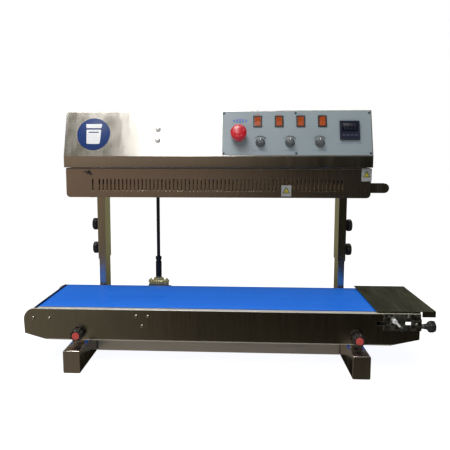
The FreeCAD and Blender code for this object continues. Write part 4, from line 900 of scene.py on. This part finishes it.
# %% Panel print
def swell(place, radius, first, last, thin, thick, paint=0):
    """An arc whose width grows from thin to thick as it turns from the first angle to the last."""
    turn = np.radians(np.linspace(first, last, 28))
    width = np.linspace(thin, thick, 28) / 2
    ray = np.stack([np.cos(turn), np.sin(turn)], -1)
    flat = np.concatenate([(radius - width)[:, None] * ray,
                           ((radius + width)[:, None] * ray)[::-1]])
    return slab(flat, place, 0.12, paint=paint)


ink_dark = moulded("print_ink", (0.03, 0.035, 0.04), 0.5, lift=0.0)
ink_grey = moulded("print_grey", (0.16, 0.20, 0.27), 0.5, lift=0.0)
ink_blue = moulded("print_blue", (0.05, 0.13, 0.42), 0.5, lift=0.0)
print_shells = []
for number in range(3):
    x = DIAL_PLACES[number]
    print_shells.append(swell(on_slope(x, DIAL_UP, PRINT_OUT), 17.0, 145.0, 35.0, 0.8, 3.2))
    for turn in range(-30, 211, 24):
        angle = math.radians(turn)
        spot = (x + 14.0 * math.cos(angle), DIAL_UP + 14.0 * math.sin(angle))
        print_shells.append(slab(box_outline(0.7, 0.7, 0.2), on_slope(*spot, PRINT_OUT), 0.1, paint=1))
    bars = ((-14, 11), (-1, 9), (12, 10)) if number != 1 else ((-17, 8), (-5, 12), (10, 13))
    print_shells += [slab(box_outline(wide, 1.5, 0.3), on_slope(x + shift, 14.5, PRINT_OUT), 0.1, paint=1)
                     for shift, wide in bars]
for number in range(4):
    x = 75.0 + 53.6 * number
    print_shells.append(slab(box_outline(9.0, 1.6, 0.3), on_slope(x, 109.0, PRINT_OUT), 0.1,
                             paint=1 if number > 1 else 3))
print_shells += [slab(box_outline(wide, 1.6, 0.3), on_slope(x, 32.0, PRINT_OUT), 0.1, paint=1)
                 for x, wide in ((279.0, 20.0), (301.0, 18.0), (322.5, 18.0))]
for number, tall in enumerate((7.0, 9.5, 12.0, 9.5, 7.0)):
    print_shells.append(slab(box_outline(4.0, tall, 1.2), on_slope(16.0 + 7.5 * number, 92.0, PRINT_OUT),
                             0.1, paint=2))
ink_red = moulded("print_faded_red", (0.42, 0.10, 0.10), 0.5, lift=0.0)
panel_print = skin("panel_print", print_shells, [ink_dark, ink_grey, ink_blue, ink_red], "head",
                   "panel_film")
print("printed marks:", len(print_shells))

# %% [markdown]
# ## The temperature controller's face
#
# The controller shows no reading, so its window is dark smoked glass with two rows of unlit
# seven-segment digits, and four keys below. A digit is seven slim bars: three lying and
# four standing.

# %% Controller face
CONTROLLER_X, CONTROLLER_UP, FACE_OUT = 301.8, 65.6, 7.5
smoked = moulded("glass_smoked", (0.004, 0.005, 0.014), 0.3, lift=0.0, depth=0.0, ior=1.22)
bezel_navy = moulded("plastic_navy", (0.008, 0.010, 0.026), 0.45, ior=1.3)
asleep = moulded("digit_asleep", (0.030, 0.026, 0.028), 0.4, lift=0.0)
key_grey = moulded("key_rubber", (0.030, 0.032, 0.075), 0.5)
dress(bezel_navy, "temperature_controller")
face_shells = [slab(box_outline(39.0, 21.5, 1.5, (0, 7.4)),
                    on_slope(CONTROLLER_X, CONTROLLER_UP, FACE_OUT - 0.95), 0.9, 0.3)]
bars = [(0.0, 1.0, 1, 0), (0.0, 0.0, 1, 0), (0.0, -1.0, 1, 0), (-1, 0.5, 0, 1), (1, 0.5, 0, 1),
        (-1, -0.5, 0, 1), (1, -0.5, 0, 1)]
for row, tall in ((12.2, 6.6), (2.8, 5.4)):
    for digit in range(4):
        middle_x = CONTROLLER_X + (digit - 1.5) * 8.2
        for shift_x, shift_up, lying, standing in bars:
            size = (3.2, 0.75) if lying else (0.75, tall / 2 - 0.7)
            spot = on_slope(middle_x + shift_x * 2.0, CONTROLLER_UP + row + shift_up * (tall / 2 - 0.3),
                            FACE_OUT - 0.04)
            face_shells.append(slab(box_outline(*size, 0.3), spot, 0.08, paint=1))
for offset in (-15, -5, 5, 15):
    spot = on_slope(CONTROLLER_X + offset, CONTROLLER_UP - 13.7, FACE_OUT + 0.02)
    face_shells.append(slab(box_outline(7.4, 3.8, 1.5), spot, 0.5, 0.3, paint=2))
face = skin("controller_face", face_shells, [smoked, asleep, key_grey], "head", "black_plastic")
print("window, digit bars and keys:", len(face_shells))

# %% [markdown]
# ## A round badge and two plain labels
#
# The left end of the cover carries a round blue badge. Its sign is a generic one: a plain bag
# with a sealed line, which any maker of such a machine could use. The two labels on the guard
# are grey with a yellow triangle and carry no sign and no words.

# %% Badge
badge_blue = moulded("badge_blue", (0.010, 0.036, 0.15), 0.5, lift=0.05, vary=0.1, ior=1.35)
badge_white = moulded("badge_white", (0.72, 0.73, 0.75), 0.5, lift=0.0)
BADGE_X, BADGE_UP = -340.6, 58.6
badge_place = on_slope(BADGE_X, BADGE_UP, 0.03)
white_place = on_slope(BADGE_X, BADGE_UP, 0.22)
bag = rounded([(-17, -26), (17, -26), (19, 12), (-19, 12)], [4, 4, 1.5, 1.5], 6)
mouth = rounded([(-19, 16), (19, 16), (21, 27), (-21, 27)], [1, 1, 2, 2], 6)
badge_shells = [spun([(42.5, 0.0), (42.5, 0.12), (42.2, 0.2)], badge_place, 128),
                slab(bag, white_place, 0.1, paint=1), slab(mouth, white_place, 0.1, paint=1),
                slab(box_outline(26.0, 2.6, 1.0, (0.0, 5.0)), on_slope(BADGE_X, BADGE_UP, 0.33),
                     0.1)]
badge = skin("round_badge", badge_shells, [badge_blue, badge_white], "head", "panel_film")

# %% Plain labels
label_grey = moulded("label_grey", (0.24, 0.25, 0.25), 0.4, lift=0.0)
label_yellow = moulded("label_yellow", (0.42, 0.37, 0.03), 0.4, lift=0.0)
label_shells = []
for x, z, wide, tall in ((147.6, 410.6, 25.0, 28.0), (345.0, 451.0, 25.0, 32.0)):
    place = facing((0, -1, 0), (x * MM, -0.03203, z * MM))
    above = facing((0, -1, 0), (x * MM, -0.03215, z * MM))
    top = facing((0, -1, 0), (x * MM, -0.03225, z * MM))
    triangle = np.array([(-9.5, -6.0), (9.5, -6.0), (0.0, 10.5)])
    inner = np.array([(-6.9, -4.5), (6.9, -4.5), (0.0, 7.4)])
    label_shells += [slab(box_outline(wide, tall, 0.6), place, 0.1),
                     slab(rounded(triangle, 1.2, 5), above, 0.08, paint=2),
                     slab(rounded(inner, 0.6, 5), top, 0.06, paint=1)]
labels = skin("plain_labels", label_shells, [label_grey, label_yellow, ink_dark], "head",
              "panel_film")
print("badge and labels made")

# %% [markdown]
# ## Weld beads
#
# The tube, the lugs and the columns are taken to be welded to the feet. A bead is a thin round
# rope, half sunk in the joint, with ripples where each drop of metal froze: its radius rises
# and falls along the way.


# %% Weld beads
def weld(points, radius=1.6, ripple=0.22, pitch=1.7, sides=10):
    """A rippled rope along straight joints: radius x (1 + ripple x cos(distance / pitch))."""
    points = np.asarray(points, float)
    lengths = np.linalg.norm(np.diff(points, axis=0), axis=1)
    far = np.concatenate([[0.0], np.cumsum(lengths)])
    at = np.linspace(0.0, far[-1], max(12, int(far[-1] / 0.5)))
    centre = np.stack([np.interp(at, far, points[:, axis]) for axis in range(3)], -1)
    ahead = np.gradient(centre, axis=0)
    ahead /= np.linalg.norm(ahead, axis=1, keepdims=True)
    side = np.cross(ahead, np.array([0.31, 0.67, 0.67]))
    side /= np.linalg.norm(side, axis=1, keepdims=True)
    other = np.cross(ahead, side)
    size = radius * (1 + ripple * np.cos(at * math.tau / pitch))
    size *= np.clip(np.minimum(at, far[-1] - at) / radius, 0.25, 1.0) ** 0.5
    turn = np.linspace(0.0, math.tau, sides, endpoint=False)
    rings = (centre[:, None] + size[:, None, None] * (np.cos(turn)[None, :, None] * side[:, None]
                                                    + np.sin(turn)[None, :, None] * other[:, None]))
    return loft(rings * MM)


weld_shells = []
for x in (-333.0, 285.0):
    for y in (-62.0, -22.0):
        weld_shells.append(weld([(x, y, 1.8), (x, y, 39.5)]))
    weld_shells.append(weld([(x, -61.0, 40.0), (x, -23.0, 40.0)]))
for centre_x in (-353.0, 305.0):
    weld_shells += [weld([(centre_x - 14, y, 53.0), (centre_x + 14, y, 53.0)], 1.1)
                    for y in (-148.4, 74.4)]
for x in (-354.0, 312.0):
    weld_shells += [weld([(x - 8.5, y, 53.0), (x + 8.5, y, 53.0)], 1.2) for y in (84.8, 143.2)]
welds = skin("weld_beads", weld_shells, [finishes["chain_steel"]], "base", "stainless_dark", 60)
print("weld beads:", len(weld_shells))

# %% [markdown]
# ## Floor and light
#
# The stage is a pale floor that glows a little and is left out of reflections. Steel shows what
# it reflects, so the room around it is uneven on purpose: warm and brown on the left, nearly
# black on the right, grey above. The camera sees plain white in its place. One soft panel in
# front and above gives the long white highlight on the cover, and two more fill the rest.

# %% Floor
floor_mesh = bpy.data.meshes.new("floor")
floor_mesh.from_pydata([(-14, -14, 0), (14, -14, 0), (14, 14, 0), (-14, 14, 0)], [], [(0, 1, 2, 3)])
floor = bpy.data.objects.new("floor", floor_mesh)
bpy.context.scene.collection.objects.link(floor)
floor.location.z = -0.0004
floor.visible_glossy = False
floor_material, tree = start("floor_pale")
close(tree, colour(0.28, 0.28, 0.28), 0.9, emission=(colour(1, 1, 1), 0.93))
floor_mesh.materials.append(floor_material)

# %% Room light
def stops(tree, value, *pairs):
    """Colours along a value between 0 and 1, blended between the given stops."""
    made = add(tree, "ShaderNodeValToRGB", {0: value})
    line = made.color_ramp.elements
    line[0].position, line[0].color = pairs[0][0], colour(*pairs[0][1])
    line[1].position, line[1].color = pairs[-1][0], colour(*pairs[-1][1])
    for position, tone in pairs[1:-1]:
        line.new(position).color = colour(*tone)
    return made.outputs[0]


world = bpy.data.worlds.new("soft_room")
bpy.context.scene.world = world
world.use_nodes = True
tree = world.node_tree
tree.nodes.clear()
way = add(tree, "ShaderNodeSeparateXYZ",
          {0: add(tree, "ShaderNodeTexCoord").outputs["Generated"]}).outputs
sideways = ramp(tree, way[0], -0.6, 0.6)
horizon = stops(tree, sideways, (0.0, (0.36, 0.26, 0.18)), (0.30, (0.25, 0.185, 0.135)),
                (0.47, (0.185, 0.14, 0.10)), (0.58, (0.014, 0.014, 0.009)),
                (1.0, (0.01, 0.01, 0.007)))
low = stops(tree, sideways, (0.0, (0.24, 0.22, 0.17)), (0.25, (0.13, 0.125, 0.10)),
            (0.42, (0.004, 0.004, 0.002)), (1.0, (0.001, 0.001, 0.0005)))
ground = stops(tree, sideways, (0.0, (0.34, 0.25, 0.17)), (0.45, (0.16, 0.14, 0.10)),
               (1.0, (0.07, 0.065, 0.05)))
high = stops(tree, sideways, (0.0, (0.12, 0.11, 0.075)), (0.4, (0.19, 0.18, 0.15)),
             (1.0, (0.16, 0.17, 0.18)))
back_low = mix(tree, ramp(tree, way[2], 0.02, 0.16), colour(0.22, 0.21, 0.12),
               colour(0.016, 0.018, 0.009))
back_low = mix(tree, ramp(tree, way[2], -0.30, -0.16), colour(0.010, 0.009, 0.005), back_low)
front = mix(tree, ramp(tree, way[2], -0.25, -0.06), low, horizon)
front = mix(tree, ramp(tree, way[2], 0.22, 0.50), front, high)
back = mix(tree, ramp(tree, way[2], 0.28, 0.55), back_low, colour(0.34, 0.34, 0.31))
around = mix(tree, ramp(tree, way[1], -0.15, 0.25), front, back)
around = mix(tree, ramp(tree, way[2], 0.72, 0.98), around, colour(0.34, 0.35, 0.36))
near = mix(tree, ramp(tree, way[1], -0.3, 0.2), ground, colour(0.008, 0.007, 0.004))
room = mix(tree, ramp(tree, way[2], -0.48, -0.34), near, around)
seen = add(tree, "ShaderNodeLightPath").outputs["Is Camera Ray"]
background = add(tree, "ShaderNodeBackground", {"Color": mix(tree, seen, room, colour(1, 1, 1)),
                                                "Strength": 1.0})
tree.links.new(background.outputs[0],
               add(tree, "ShaderNodeOutputWorld").inputs["Surface"])


# %% Soft panels of light
def soft_panel(name, centre, target, size, power, tint=(1.0, 1.0, 1.0)):
    """A rectangular light that faces its target."""
    data = bpy.data.lights.new(name, "AREA")
    data.shape = "RECTANGLE"
    data.size, data.size_y = size
    data.energy = power
    data.color = tint
    lamp = bpy.data.objects.new(name, data)
    bpy.context.scene.collection.objects.link(lamp)
    lamp.location = centre
    lamp.rotation_euler = (Vector(target) - Vector(centre)).to_track_quat("-Z", "Y").to_euler()
    return lamp


soft_panel("front_panel", (-0.365, -2.2, 2.15), (-0.1, 0.0, 0.45), (0.62, 0.8), 7.5)
soft_panel("key_panel", (-0.55, -0.95, 2.4), (-0.1, 0.0, 0.2), (1.4, 0.9), 46.0)
soft_panel("back_panel", (0.2, 0.9, 2.6), (0.0, 0.0, 0.3), (1.8, 0.9), 12.0)
